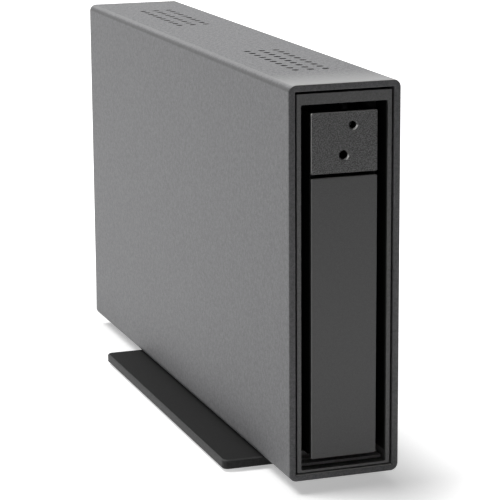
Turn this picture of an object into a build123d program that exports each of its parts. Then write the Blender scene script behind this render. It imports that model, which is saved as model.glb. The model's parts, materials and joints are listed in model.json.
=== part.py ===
from build123d import *
import os
from math import cos, radians, sin

# Free-standing enclosure for one removable 3.5-inch hard drive.
# Lengths are in millimetres and +Z is up.
# The part stands on z = 0, its front faces -Y, and x = 0 is its middle plane.

# The drive that the enclosure is built around
drive_t = 26.1
drive_w = 101.6
drive_l = 147.0
drive_corner_r = 2.5
drive_hole_up = 6.35
drive_hole_from_rear = 28.5
drive_hole_from_front = 16.9
drive_hole_r = 1.75
drive_hole_depth = 4.0
drive_screw_bite = 3.2

# Lid of the drive
drive_lid_t = 1.3
lid_margin = 1.6
lid_corner = 5.0
lid_screw_in = 4.2
lid_screw_r = 2.4
lid_screw_sink = 0.6
lid_socket_r = 1.1
stamp_margin = 5.2
stamp_w = 3.0
stamp_depth = 0.5
stamp_panel_l = 30.0
stamp_panel_margin = 14.0

# Back of the drive, with its circuit board
pocket_depth = 2.8
pocket_margin_y = 4.0
pocket_margin_z = 8.0
hub_r = 15.0
hub_cap_r = 9.0
hub_sink = 0.8
card_t = 1.0
card_l = 92.0
card_hub_gap = 1.0
chip_t = 1.2
chip_large = 14.0
chip_medium = 9.0
chip_small = 7.0
chip_from_edge = 16.0

# Body extrusion
body_wall = 2.05
body_corner_r = 2.3
body_inner_r = 0.25
rim_chamfer = 0.35
rib_w = 3.0
rib_pitch = 60.0

# Front bezel, a duct that stands inside the rim of the body
bezel_gap_side = 0.55
bezel_gap_bottom = 0.35
bezel_gap_top = 0.7
bezel_side = 1.3
bezel_bar_bottom = 0.75
bezel_bar_top = 3.15
bezel_recess = 0.4
bezel_depth = 9.8
bezel_outer_r = 0.25
bezel_mouth_r = 0.45
bezel_rib_w = 6.0
bezel_rib_l = 4.0
bezel_rib_pitch = 70.0

# Removable carrier
bay_clear_side = 0.2
carrier_clear_side = 0.25
carrier_clear_bottom = 0.25
carrier_clear_top = 0.3
rail_bottom_t = 2.5
rail_top_t = 3.3
tray_plate_t = 1.5
tray_gap_drive = 0.5
rail_short_of_drive = 6.0

# Faces seen at the front of the carrier
plate_w = 20.35
plate_t = 1.5
plate_recess = 0.45
plate_edge = 0.2
plate_corner_r = 0.4
moat_bottom = 2.96
moat_top = 2.55
latch_plate_h = 17.75
plate_gap = 1.07

# Nose moulding behind them
nose_flange_t = 1.5
nose_cheek_t = 1.6
nose_cheek_inset = 0.1
nose_front_gap = 0.2
lip_t = 0.8
lip_l = 5.4
lip_root_t = 1.3
lip_root_l = 2.2
nose_screw_up = 11.2
nose_screw_down = 22.4

# Pull lever
pivot_up = 2.85
pin_r = 0.8
pin_fit = 0.02
pin_run = 0.05
lever_side_gap = 0.3
lever_depth = 4.4
lever_skin = 1.4
lever_top_gap = 1.4
lever_ribs = 6
lever_rib_t = 1.2

# Latch
latch_travel = 1.8
stem_t = 1.8
stem_h = 10.5
stem_up = 0.9
groove_depth = 0.8
groove_run = 0.12
hook_t = 1.0
hook_w = 8.0
hook_gap = 0.5
led_x = 2.6
led_down = 3.95
led_r = 1.1
lock_x = -0.2
lock_down = 12.5
lock_r = 1.3
hole_edge = 0.25
roof_t = 2.0
roof_l = 2.4
spring_r = 1.0
wire_r = 0.22
spring_turns = 4
spring_x = -4.5

# Lock spindle
spindle_r = 2.3
spindle_gap = 0.4
spindle_shank_r = 1.5
spindle_run = 0.06
spindle_end_gap = 0.75
hex_r = 1.1
hex_depth = 2.5
cam_reach = 5.6
cam_r = 1.6
cam_t = 1.4

# Light pipe
pipe_r = 1.0
pipe_clear = 0.12
pipe_floor = 0.8
pipe_setback = 0.3
pipe_bend_r = 1.8
pipe_short_of_rail = 3.0

# Inner cage of sheet steel
cage_t = 1.0
cage_window_h = 24.0
cage_window_l = 34.0
cage_window_r = 4.0
cage_windows = 3
cage_slot_w = 15.0
cage_flange_h = 9.0

# Vents
vent_r = 1.0
vent_pitch = 4.75
vent_rows = 3
vent_columns = 10
vent_from_front = 27.75
vent_from_rear = 27.2
panel_vent_columns = 4
panel_vent_rows = 3

# Electronics bay and rear panel
bay_l = 47.75
panel_t = 1.5
panel_recess = 2.0
panel_clear = 0.15
panel_screw_x = 9.5
panel_screw_in = 5.0

# Circuit boards
board_t = 1.6
board_from = 14.0
board_over_switch = 16.8
board_rear_gap = 0.5
board_inset = 4.0
standoff_r = 2.5
backplane_gap = 3.0
backplane_h = 66.0
backplane_clear = 0.2
link_l = 30.0
link_t = 2.5
bridge_chip_w = 10.0
clock_chip_w = 6.0
coil_w = 8.0
coil_h = 4.0
capacitor_r = 3.0
capacitor_h = 8.0
capacitor_pitch = 7.5

# Ports on the rear panel: their heights as rows counted up from the body's underside
port_rows = 7
lock_slot_row = 1.0
jack_row = 2.0
usb_row = 3.0
switch_row = 4.5
panel_vent_row = 5.6
port_clear = 0.2
port_h = 11.0

# Power switch
rocker_half = 5.5
rocker_w = 6.2
rocker_tilt = 7.0
rocker_run = 0.35
rocker_axle_r = 0.7
rocker_barrel_r = 1.7
rocker_down = 2.0
rocker_hollow = 0.17
switch_wall = 1.2
switch_flange = 0.8
switch_flange_t = 0.5
switch_depth = 11.0
switch_pin_r = 0.6
switch_pin_pitch = 4.0

# Data port, whose opening is wide below and narrow above its shoulders
port_half_w = 6.0
port_l = 17.0
port_low_h = 7.4
port_full_h = 10.0
port_low_w = 8.5
port_high_w = 5.6
port_cavity = 9.0
port_corner = 1.2
port_tongue_t = 3.1

# Power inlet and lock slot
jack_half_w = 4.5
jack_l = 13.0
jack_ring_r = 4.2
jack_bore_r = 3.15
jack_pin_r = 1.05
jack_bore_l = 9.5
lock_slot_l = 7.0
lock_slot_w = 3.0
lock_slot_r = 1.0

# Data connector of the drive
plug_up = 32.0
plug_l = 43.0
plug_t = 5.5
plug_depth = 7.5
plug_wall = 0.8
plug_cavity = 5.5
tongue_t = 1.2
tongue_l = 38.0
socket_clear = 0.2
plug_from_side = 1.6

# Stand
stand_w = 57.4
stand_l = 129.4
stand_t = 3.0
stand_from_front = 26.1
stand_corner_r = 2.0
stand_chamfer = 0.4
foot_r = 4.0
foot_t = 1.5
foot_proud = 0.8
foot_inset = 8.0
stand_screw_pitch_x = 16.0
stand_screw_pitch_y = 90.0

# Screws
csk_head_r = 2.8
csk_head_t = 1.6
m3_r = 1.4
screw_clear = 0.08
m25_r = 1.15
m25_head_r = 2.1
m25_head_t = 0.9
m25_pan_r = 2.25
socket_share = 0.45
socket_depth_share = 0.7
head_edge_share = 0.3
pan_head_t = 1.4
pan_head_r = 2.5

# Overall size follows from what the body holds
mouth_w = drive_t + 2 * bay_clear_side
carrier_h = rail_bottom_t + drive_w + rail_top_t
mouth_h = carrier_clear_bottom + carrier_h + carrier_clear_top
bezel_w = mouth_w + 2 * bezel_side
bezel_h = bezel_bar_bottom + mouth_h + bezel_bar_top
inner_w = bezel_w + 2 * bezel_gap_side
inner_h = bezel_gap_bottom + bezel_h + bezel_gap_top
body_w = inner_w + 2 * body_wall
body_h = inner_h + 2 * body_wall
tray_from_front = bezel_recess + bezel_depth
drive_from_front = tray_from_front + tray_plate_t + tray_gap_drive
body_l = drive_from_front + drive_l + bay_l + panel_t + panel_recess

# Heights
underside_z = foot_proud + stand_t
floor_z = underside_z + body_wall
body_mid_z = underside_z + body_h / 2
body_top_z = underside_z + body_h
bezel_z = floor_z + bezel_gap_bottom
mouth_z = bezel_z + bezel_bar_bottom
mouth_top_z = mouth_z + mouth_h
carrier_z = mouth_z + carrier_clear_bottom
carrier_top_z = carrier_z + carrier_h
drive_z = carrier_z + rail_bottom_t
drive_mid_z = drive_z + drive_w / 2
drive_top_z = drive_z + drive_w
cover_z = mouth_z + moat_bottom
latch_top_z = mouth_top_z - moat_top
latch_z = latch_top_z - latch_plate_h
cover_top_z = latch_z - plate_gap
pivot_z = cover_z + pivot_up
cage_top_z = mouth_top_z + cage_t
lever_top_z = cover_top_z - lever_top_gap
port_pitch = body_h / port_rows
lock_slot_up = lock_slot_row * port_pitch
jack_up = jack_row * port_pitch
usb_up = usb_row * port_pitch
switch_up = switch_row * port_pitch
panel_vent_up = panel_vent_row * port_pitch

# Places along Y
front_y = -body_l / 2
rear_y = body_l / 2
bezel_y = front_y + bezel_recess
cage_y = front_y + tray_from_front
panel_y = rear_y - panel_recess - panel_t
panel_out_y = rear_y - panel_recess
drive_y = front_y + drive_from_front
drive_rear_y = drive_y + drive_l
drive_mid_y = drive_y + drive_l / 2
plate_y = front_y + plate_recess
plate_back_y = plate_y + plate_t
cheek_y = plate_back_y + nose_front_gap
flange_y = cage_y - nose_flange_t
rail_end_y = drive_rear_y - rail_short_of_drive
backplane_y = drive_rear_y + backplane_gap
backplane_rear_y = backplane_y + board_t
board_rear_y = panel_y - board_rear_gap
stand_mid_y = front_y + stand_from_front + stand_l / 2
vent_field_l = vent_pitch * (vent_columns - 1)
vent_fields_y = (
    front_y + vent_from_front + vent_field_l / 2,
    rear_y - vent_from_rear - vent_field_l / 2,
)

# Places along X
drive_half = drive_t / 2
carrier_half = mouth_w / 2 - carrier_clear_side
cage_half = mouth_w / 2 + cage_t
cheek_out = plate_w / 2 - nose_cheek_inset
cheek_in = cheek_out - nose_cheek_t
lever_half = cheek_in - lever_side_gap
board_x = -port_h / 2

# The pivot's round end on each cheek just clears the back of the lever's cover
pivot_r = lever_depth / 2
pivot_y = plate_back_y + pivot_r
cheek_round_r = pivot_y - cheek_y

os.makedirs("parts", exist_ok=True)


def across(y):
    """Plane across the body at y, seen from the front: local x is +X and local y is +Z."""
    return Plane(origin=(0, y, 0), x_dir=(1, 0, 0), z_dir=(0, -1, 0))


def along(x):
    """Plane along the body at x: local x is +Y, local y is +Z, and its normal is +X."""
    return Plane(origin=(x, 0, 0), x_dir=(0, 1, 0), z_dir=(1, 0, 0))


def block(x, y, z, mode=Mode.ADD):
    """Box between the pairs of limits x, y and z, in the part that is being made."""
    with Locations(((x[0] + x[1]) / 2, (y[0] + y[1]) / 2, (z[0] + z[1]) / 2)):
        Box(x[1] - x[0], y[1] - y[0], z[1] - z[0], mode=mode)


def finish(builder, name):
    """Label the finished piece and write its file."""
    builder.part.label = name
    export_step(builder.part, f"parts/{name}.step")


# Housing: one extruded tube with locating ribs for the cage and two vent fields in its roof
with BuildPart() as housing_shell:
    with BuildSketch(across(front_y)):
        with Locations((0, body_mid_z)):
            RectangleRounded(body_w, body_h, body_corner_r)
            RectangleRounded(inner_w, inner_h, body_inner_r, mode=Mode.SUBTRACT)
    extrude(amount=-body_l)
    for end in (0, -1):
        rim = housing_shell.faces().filter_by(Axis.Y).sort_by(Axis.Y)[end]
        chamfer(rim.outer_wire().edges(), rim_chamfer)
    rib_h = inner_w / 2 - cage_half
    with BuildSketch(across(cage_y)):
        with Locations((0, body_mid_z)):
            with GridLocations(inner_w - rib_h, rib_pitch, 2, 2):
                Rectangle(rib_h, rib_w)
    extrude(amount=-(panel_y - cage_y))
    for field_mid_y in vent_fields_y:
        with BuildSketch(Plane.XY.offset(body_top_z)):
            with Locations((0, field_mid_y)):
                with GridLocations(vent_pitch, vent_pitch, vent_rows, vent_columns):
                    Circle(vent_r)
        extrude(amount=-body_wall, mode=Mode.SUBTRACT)
    with BuildSketch(Plane.XY.offset(underside_z)):
        with Locations((0, stand_mid_y)):
            with GridLocations(stand_screw_pitch_x, stand_screw_pitch_y, 2, 2):
                Circle(m3_r + screw_clear)
    extrude(amount=body_wall, mode=Mode.SUBTRACT)
finish(housing_shell, "housing_shell")

# Bezel: a thin-walled duct with ribs that bear on the inside of the body
with BuildPart() as front_bezel:
    with BuildSketch(across(bezel_y)):
        with Locations((0, bezel_z + bezel_h / 2)):
            RectangleRounded(bezel_w, bezel_h, bezel_outer_r)
        with Locations((0, mouth_z + mouth_h / 2)):
            RectangleRounded(mouth_w, mouth_h, bezel_mouth_r, mode=Mode.SUBTRACT)
    extrude(amount=-bezel_depth)
    with BuildSketch(across(cage_y)):
        with Locations((0, bezel_z + bezel_h / 2)):
            with GridLocations(bezel_w + bezel_gap_side, bezel_rib_pitch, 2, 2):
                Rectangle(bezel_gap_side, bezel_rib_w)
    extrude(amount=bezel_rib_l)
finish(front_bezel, "front_bezel")

# Cage: a folded sleeve that guides the carrier, windowed, with screw flanges at its rear
cage_l = panel_y - cage_y
with BuildPart() as inner_cage:
    with BuildSketch(across(cage_y)):
        with Locations((0, (floor_z + cage_top_z) / 2)):
            Rectangle(2 * cage_half, cage_top_z - floor_z)
        with Locations((0, (floor_z + cage_t + mouth_top_z) / 2)):
            Rectangle(mouth_w, mouth_top_z - floor_z - cage_t, mode=Mode.SUBTRACT)
    extrude(amount=-cage_l)
    with BuildSketch(along(-cage_half)):
        with Locations((drive_mid_y, body_mid_z)):
            with GridLocations(
                cage_window_l + cage_window_r * 2, cage_window_h + cage_window_r * 2, cage_windows, 3
            ):
                RectangleRounded(cage_window_l, cage_window_h, cage_window_r)
    extrude(amount=2 * cage_half, mode=Mode.SUBTRACT)
    for field_mid_y in vent_fields_y:
        with BuildSketch(Plane.XY.offset(cage_top_z)):
            with Locations((0, field_mid_y)):
                SlotCenterToCenter(vent_field_l - cage_slot_w, cage_slot_w, rotation=90)
        extrude(amount=-cage_t, mode=Mode.SUBTRACT)
    inside_x = (-mouth_w / 2, mouth_w / 2)
    flange_depth = (panel_y - cage_t, panel_y)
    block(inside_x, flange_depth, (floor_z + cage_t, floor_z + cage_t + cage_flange_h))
    block(inside_x, flange_depth, (mouth_top_z - cage_flange_h, mouth_top_z))
    with BuildSketch(across(panel_y)):
        for z in (floor_z + cage_t + panel_screw_in, mouth_top_z - panel_screw_in):
            with Locations((-panel_screw_x, z), (panel_screw_x, z)):
                Circle(m3_r + screw_clear)
    extrude(amount=cage_t, mode=Mode.SUBTRACT)
finish(inner_cage, "inner_cage")

# Nose: flange, two cheeks with a round end at the pivot, lip, latch grooves and spring roof
with BuildPart() as carrier_nose:
    block((-carrier_half, carrier_half), (flange_y, cage_y), (carrier_z, carrier_top_z))
    lip_limits = (flange_y - lip_l, flange_y)
    block((-carrier_half, carrier_half), lip_limits, (carrier_z, carrier_z + lip_t))
    root_limits = (flange_y - lip_root_l, flange_y)
    block((-carrier_half, carrier_half), root_limits, (carrier_z, carrier_z + lip_root_t))
    for side in (-cheek_out, cheek_in):
        with BuildSketch(along(side)) :
            with BuildLine():
                Polyline(
                    (cheek_y, pivot_z),
                    (cheek_y, latch_top_z),
                    (flange_y, latch_top_z),
                    (flange_y, pivot_z - cheek_round_r),
                    (pivot_y, pivot_z - cheek_round_r),
                )
                RadiusArc(
                    (pivot_y, pivot_z - cheek_round_r), (cheek_y, pivot_z), cheek_round_r
                )
            make_face()
        extrude(amount=nose_cheek_t)
    block(
        (-cheek_in, cheek_in), (cheek_y, cheek_y + roof_l), (latch_top_z - roof_t, latch_top_z)
    )
    stem_z = latch_z + stem_up
    groove_half = cheek_in + groove_depth + groove_run
    block(
        (-groove_half, groove_half),
        (plate_back_y + nose_front_gap * 2, plate_back_y + stem_t + groove_run),
        (stem_z - groove_run, stem_z + stem_h + latch_travel + groove_run),
        mode=Mode.SUBTRACT,
    )
    with BuildSketch(along(-cheek_out)):
        with Locations((pivot_y, pivot_z)):
            Circle(pin_r + pin_fit)
    extrude(amount=2 * cheek_out, mode=Mode.SUBTRACT)
    lock_z = latch_top_z - lock_down
    with BuildSketch(across(cage_y)):
        with Locations((lock_x, lock_z)):
            Circle(spindle_shank_r + spindle_run)
    extrude(amount=nose_flange_t, mode=Mode.SUBTRACT)
    pipe_z = latch_top_z - led_down
    pipe_floor_z = drive_top_z + pipe_floor
    pipe_slot = (led_x - pipe_r - pipe_clear, led_x + pipe_r + pipe_clear)
    block(pipe_slot, (flange_y, cage_y), (pipe_floor_z, carrier_top_z), mode=Mode.SUBTRACT)
    nose_screw_x = carrier_half / 2
    nose_screw_z = (pivot_z + nose_screw_up, drive_top_z - nose_screw_down)
    with BuildSketch(across(cage_y)):
        for z in nose_screw_z:
            with Locations((-nose_screw_x, z), (nose_screw_x, z)):
                Circle(m25_r + screw_clear)
    extrude(amount=nose_flange_t, mode=Mode.SUBTRACT)
finish(carrier_nose, "carrier_nose")

# Tray: front plate and two rails, screwed to the sides of the drive
drive_screw_x = drive_half - drive_hole_up
drive_screw_y = (drive_y + drive_hole_from_front, drive_rear_y - drive_hole_from_rear)
with BuildPart() as carrier_tray:
    block(
        (-carrier_half, carrier_half),
        (cage_y, cage_y + tray_plate_t),
        (carrier_z, carrier_top_z),
    )
    rail_limits = (cage_y, rail_end_y)
    block((-carrier_half, carrier_half), rail_limits, (carrier_z, drive_z))
    block((-carrier_half, carrier_half), rail_limits, (drive_top_z, carrier_top_z))
    rail_ends = carrier_tray.edges().filter_by(Axis.Z).group_by(Axis.Y)[-1]
    fillet(rail_ends, rail_bottom_t)
    with Locations(Plane(origin=(0, 0, carrier_top_z))):
        with Locations(*[(drive_screw_x, y) for y in drive_screw_y]):
            CounterSinkHole(m3_r + screw_clear, csk_head_r + screw_clear, depth=rail_top_t)
    with Locations(Plane(origin=(0, 0, carrier_z), x_dir=(1, 0, 0), z_dir=(0, 0, -1))):
        with Locations(*[(drive_screw_x, -y) for y in drive_screw_y]):
            CounterSinkHole(m3_r + screw_clear, csk_head_r + screw_clear, depth=rail_bottom_t)
    block(pipe_slot, (cage_y, rail_end_y), (pipe_floor_z, carrier_top_z), mode=Mode.SUBTRACT)
    with BuildSketch(across(cage_y + tray_plate_t)):
        with Locations((lock_x, lock_z)):
            Circle(spindle_shank_r + spindle_end_gap)
    extrude(amount=tray_plate_t, mode=Mode.SUBTRACT)
    with Locations(Plane(origin=(0, cage_y + tray_plate_t, 0), x_dir=(-1, 0, 0), z_dir=(0, 1, 0))):
        for z in nose_screw_z:
            with Locations((-nose_screw_x, z), (nose_screw_x, z)):
                CounterSinkHole(m25_r + screw_clear, m25_head_r + screw_clear, depth=tray_plate_t)
finish(carrier_tray, "carrier_tray")

# Countersunk screws of one size, each from its head's face, are revolved once and repeated
def countersunk_screw(shank_r, head_r, head_t, length):
    """Screw with its head's face on z = 0 and its shank down the -Z axis, with a hex socket."""
    with BuildPart() as screw:
        with BuildSketch(Plane.XZ) as profile:
            with BuildLine():
                Polyline(
                    (0, 0),
                    (head_r, 0),
                    (shank_r, -head_t),
                    (shank_r, -length),
                    (0, -length),
                    close=True,
                )
            make_face()
        revolve(profile.sketch, axis=Axis.Z)
        with BuildSketch(Plane.XY) as socket:
            RegularPolygon(radius=head_r * socket_share, side_count=6)
        extrude(socket.sketch, amount=-head_t * socket_depth_share, mode=Mode.SUBTRACT)
    return screw.part


def pan_screw(shank_r, head_r, head_t, length):
    """Screw with its head standing on z = 0 and its shank down the -Z axis, with a hex socket."""
    with BuildPart() as screw:
        Cylinder(head_r, head_t, align=(Align.CENTER, Align.CENTER, Align.MIN))
        chamfer(screw.edges().group_by(Axis.Z)[-1], head_t * head_edge_share)
        Cylinder(shank_r, length, align=(Align.CENTER, Align.CENTER, Align.MAX))
        with BuildSketch(Plane.XY.offset(head_t)) as socket:
            RegularPolygon(radius=head_r * socket_share, side_count=6)
        extrude(socket.sketch, amount=-head_t * socket_depth_share, mode=Mode.SUBTRACT)
    return screw.part


# Nose screws hold the nose to the tray from behind
nose_screw_l = tray_plate_t + nose_flange_t - panel_clear
nose_screw = countersunk_screw(m25_r, m25_head_r, m25_head_t, nose_screw_l)
with BuildPart() as nose_screws:
    for z in nose_screw_z:
        for x in (-nose_screw_x, nose_screw_x):
            with Locations(Plane(origin=(x, cage_y + tray_plate_t, z), x_dir=(-1, 0, 0), z_dir=(0, 1, 0))):
                add(nose_screw)
finish(nose_screws, "nose_screws")

# Lever: a ribbed bar on its pivot, open at the back
with BuildPart() as lever_arm:
    lever_back_y = plate_back_y + lever_depth
    block((-lever_half, lever_half), (plate_back_y, lever_back_y), (pivot_z, lever_top_z))
    fillet(lever_arm.edges().filter_by(Axis.X).group_by(Axis.Z)[-1].sort_by(Axis.Y)[-1], lever_skin)
    with BuildSketch(along(-lever_half)):
        with Locations((pivot_y, pivot_z)):
            Circle(pivot_r)
    extrude(amount=2 * lever_half)
    pocket_half = lever_half - lever_skin
    pocket_from = pivot_z + pivot_r + lever_skin
    pocket_pitch = (lever_top_z - pocket_from) / lever_ribs
    for index in range(lever_ribs):
        low = pocket_from + index * pocket_pitch
        block(
            (-pocket_half, pocket_half),
            (plate_back_y + lever_skin, lever_back_y),
            (low, low + pocket_pitch - lever_rib_t),
            mode=Mode.SUBTRACT,
        )
    with BuildSketch(along(-lever_half)):
        with Locations((pivot_y, pivot_z)):
            Circle(pin_r + pin_run)
    extrude(amount=2 * lever_half, mode=Mode.SUBTRACT)
finish(lever_arm, "lever_arm")

with BuildPart() as lever_cover:
    block((-plate_w / 2, plate_w / 2), (plate_y, plate_back_y), (cover_z, cover_top_z))
    fillet(lever_cover.edges().filter_by(Axis.Y), plate_corner_r)
    chamfer(lever_cover.faces().sort_by(Axis.Y)[0].edges(), plate_edge)
finish(lever_cover, "lever_cover")

with BuildPart() as lever_pin:
    with BuildSketch(along(-cheek_out)):
        with Locations((pivot_y, pivot_z)):
            Circle(pin_r)
    extrude(amount=2 * cheek_out)
finish(lever_pin, "lever_pin")

# Latch: face plate, a stem that slides in the grooves of the nose, and a hook over the lever
tool_half = lock_r
with BuildPart() as latch_plate:
    block((-plate_w / 2, plate_w / 2), (plate_y, plate_back_y), (latch_z, latch_top_z))
    fillet(latch_plate.edges().filter_by(Axis.Y), plate_corner_r)
    chamfer(latch_plate.faces().sort_by(Axis.Y)[0].edges(), plate_edge)
    stem_back_y = plate_back_y + stem_t
    stem_half = cheek_in - lever_side_gap
    block((-stem_half, stem_half), (plate_back_y, stem_back_y), (stem_z, stem_z + stem_h))
    tongue_y = plate_back_y + nose_front_gap * 2 + groove_run
    block(
        (-cheek_in - groove_depth, cheek_in + groove_depth),
        (tongue_y, stem_back_y),
        (stem_z, stem_z + stem_h),
    )
    hook_y = (stem_back_y, stem_back_y + hook_t)
    hook_z = lever_top_z + hook_gap
    block((-hook_w / 2, hook_w / 2), hook_y, (hook_z, stem_z + hook_t * 2))
    block(
        (-tool_half, tool_half),
        (plate_back_y, stem_back_y),
        (lock_z - latch_travel - tool_half, lock_z + tool_half),
        mode=Mode.SUBTRACT,
    )
    with BuildSketch(across(plate_y)):
        with Locations((led_x, pipe_z)):
            Circle(led_r)
        with Locations((lock_x, lock_z)):
            Circle(lock_r)
    extrude(amount=-plate_t, mode=Mode.SUBTRACT)
    holes = latch_plate.faces().sort_by(Axis.Y)[0].inner_wires()
    chamfer([edge for wire in holes for edge in wire.edges()], hole_edge)
finish(latch_plate, "latch_plate")

# Return spring between the latch's stem and the roof of the nose
roof_z = latch_top_z - roof_t
spring_from = stem_z + stem_h + 2 * wire_r
spring_to = roof_z - 2 * wire_r
with BuildPart() as latch_spring:
    spring_y = (plate_back_y + cheek_y + roof_l) / 2
    with BuildLine(Plane(origin=(spring_x, spring_y, spring_from))) as coil:
        height = spring_to - spring_from
        Helix(pitch=height / spring_turns, height=height, radius=spring_r)
    with BuildSketch(Plane(origin=coil.line @ 0, z_dir=coil.line % 0)):
        Circle(wire_r)
    sweep(path=coil.line)
finish(latch_spring, "latch_spring")

# Lock spindle: hexagon socket at the front, cam behind, shank in the flange of the nose
with BuildPart() as lock_spindle:
    spindle_y = stem_back_y + hook_t + spindle_gap
    spindle_l = flange_y - spindle_y - spindle_gap / 2
    with BuildSketch(across(spindle_y)):
        with Locations((lock_x, lock_z)):
            Circle(spindle_r)
    extrude(amount=-spindle_l)
    with BuildSketch(across(spindle_y + spindle_l)):
        with Locations((lock_x, lock_z - (cam_reach - cam_r) / 2)):
            SlotCenterToCenter(cam_reach - cam_r, 2 * cam_r, rotation=90)
    extrude(amount=cam_t)
    with BuildSketch(across(spindle_y + spindle_l)):
        with Locations((lock_x, lock_z)):
            Circle(spindle_shank_r)
    extrude(amount=-(cage_y - spindle_y - spindle_l))
    with BuildSketch(across(spindle_y)):
        with Locations((lock_x, lock_z)):
            RegularPolygon(radius=hex_r, side_count=6)
    extrude(amount=-hex_depth, mode=Mode.SUBTRACT)
finish(lock_spindle, "lock_spindle")

# Light pipe: from behind the small hole, up and back in the groove of the top rail
pipe_front_y = stem_back_y + pipe_setback
pipe_run_z = pipe_floor_z + pipe_clear + pipe_r
pipe_end_y = rail_end_y - pipe_short_of_rail
with BuildPart() as light_pipe:
    with BuildLine() as pipe_path:
        FilletPolyline(
            (led_x, pipe_front_y, pipe_z),
            (led_x, pipe_front_y + pipe_bend_r, pipe_z),
            (led_x, flange_y - pipe_bend_r / 2, pipe_run_z),
            (led_x, pipe_end_y, pipe_run_z),
            radius=pipe_bend_r / 2,
        )
    with BuildSketch(across(pipe_front_y)):
        with Locations((led_x, pipe_z)):
            Circle(pipe_r)
    sweep(path=pipe_path.line)
finish(light_pipe, "light_pipe")

# Drive: cast base, stamped lid, circuit board with its parts, and data plug
platter_y = drive_y + drive_w / 2
lid_x = -drive_half + drive_lid_t
pocket_w = drive_w - 2 * pocket_margin_z
plug_z = drive_z + plug_up
plug_x = drive_half - plug_from_side - plug_t
with BuildPart() as drive_base:
    with BuildSketch(along(lid_x)):
        with Locations((drive_mid_y, drive_mid_z)):
            RectangleRounded(drive_l, drive_w, drive_corner_r)
    extrude(amount=drive_half - lid_x)
    with BuildSketch(along(drive_half)):
        with Locations((drive_mid_y, drive_mid_z)):
            RectangleRounded(drive_l - 2 * pocket_margin_y, pocket_w, drive_corner_r)
        with Locations((platter_y, drive_mid_z)):
            Circle(hub_r, mode=Mode.SUBTRACT)
    extrude(amount=-pocket_depth, mode=Mode.SUBTRACT)
    with BuildSketch(along(drive_half)):
        with Locations((platter_y, drive_mid_z)):
            Circle(hub_cap_r)
    extrude(amount=-hub_sink, mode=Mode.SUBTRACT)
    block(
        (plug_x - port_clear, drive_half),
        (drive_rear_y - plug_depth - port_clear, drive_rear_y),
        (plug_z - plug_l / 2 - port_clear, plug_z + plug_l / 2 + port_clear),
        mode=Mode.SUBTRACT,
    )
    hole_places = [(drive_screw_x, y) for y in drive_screw_y]
    with BuildSketch(Plane.XY.offset(drive_z)):
        with Locations(*hole_places):
            Circle(drive_hole_r)
    extrude(amount=drive_hole_depth, mode=Mode.SUBTRACT)
    with BuildSketch(Plane.XY.offset(drive_top_z)):
        with Locations(*hole_places):
            Circle(drive_hole_r)
    extrude(amount=-drive_hole_depth, mode=Mode.SUBTRACT)
finish(drive_base, "drive_base")

lid_l = drive_l - 2 * lid_margin
lid_w = drive_w - 2 * lid_margin
stamp_r = lid_w / 2 - stamp_margin
lid_screw_places = [
    (drive_mid_y + i * (lid_l / 2 - lid_screw_in), drive_mid_z + k * (lid_w / 2 - lid_screw_in))
    for i in (-1, 0, 1)
    for k in (-1, 1)
]
with BuildPart() as drive_lid:
    with BuildSketch(along(-drive_half)):
        with Locations((drive_mid_y, drive_mid_z)):
            RectangleRounded(lid_l, lid_w, lid_corner)
    extrude(amount=drive_lid_t)
    chamfer(drive_lid.faces().sort_by(Axis.X)[0].edges(), plate_edge)
    with BuildSketch(along(-drive_half)):
        with Locations((platter_y, drive_mid_z)):
            Circle(stamp_r)
            Circle(stamp_r - stamp_w, mode=Mode.SUBTRACT)
        with Locations((drive_rear_y - stamp_panel_l, drive_mid_z)):
            RectangleRounded(stamp_panel_l, lid_w - 2 * stamp_panel_margin, lid_corner)
    extrude(amount=stamp_depth, mode=Mode.SUBTRACT)
    with BuildSketch(along(-drive_half)):
        with Locations(*lid_screw_places):
            Circle(lid_screw_r + screw_clear)
    extrude(amount=lid_screw_sink, mode=Mode.SUBTRACT)
finish(drive_lid, "drive_lid")

with BuildPart() as drive_lid_screws:
    with BuildSketch(along(-drive_half + lid_screw_sink)):
        with Locations(*lid_screw_places):
            Circle(lid_screw_r)
            RegularPolygon(lid_socket_r, 6, mode=Mode.SUBTRACT)
    extrude(amount=-lid_screw_sink)
finish(drive_lid_screws, "drive_lid_screws")

card_x = drive_half - pocket_depth
card_rear_y = drive_rear_y - plug_depth - 2 * port_clear
card_w = pocket_w - 2 * port_clear
with BuildPart() as drive_pcb:
    with BuildSketch(along(card_x)):
        with Locations((card_rear_y - card_l / 2, drive_mid_z)):
            RectangleRounded(card_l, card_w, drive_corner_r)
        with Locations((platter_y, drive_mid_z)):
            Circle(hub_r + card_hub_gap, mode=Mode.SUBTRACT)
    extrude(amount=card_t)
finish(drive_pcb, "drive_pcb")

# Each of its three chips sits in the middle of a third of the board
with BuildPart() as drive_chips:
    for index, chip in enumerate((chip_large, chip_medium, chip_small)):
        with BuildSketch(along(card_x + card_t)):
            with Locations((card_rear_y - chip_from_edge, drive_mid_z + (index - 1) * card_w / 3)):
                Rectangle(chip, chip)
        extrude(amount=chip_t)
finish(drive_chips, "drive_chips")

plug_rear_y = drive_rear_y - port_clear
with BuildPart() as drive_sata_plug:
    block(
        (plug_x, plug_x + plug_t),
        (plug_rear_y - plug_depth, plug_rear_y),
        (plug_z - plug_l / 2, plug_z + plug_l / 2),
    )
    block(
        (plug_x + plug_wall, plug_x + plug_t - plug_wall),
        (plug_rear_y - plug_cavity, plug_rear_y),
        (plug_z - plug_l / 2 + plug_wall, plug_z + plug_l / 2 - plug_wall),
        mode=Mode.SUBTRACT,
    )
    tongue_mid = plug_x + plug_t / 2
    block(
        (tongue_mid - tongue_t / 2, tongue_mid + tongue_t / 2),
        (plug_rear_y - plug_cavity, plug_rear_y - plug_wall),
        (plug_z - tongue_l / 2, plug_z + tongue_l / 2),
    )
finish(drive_sata_plug, "drive_sata_plug")

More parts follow.
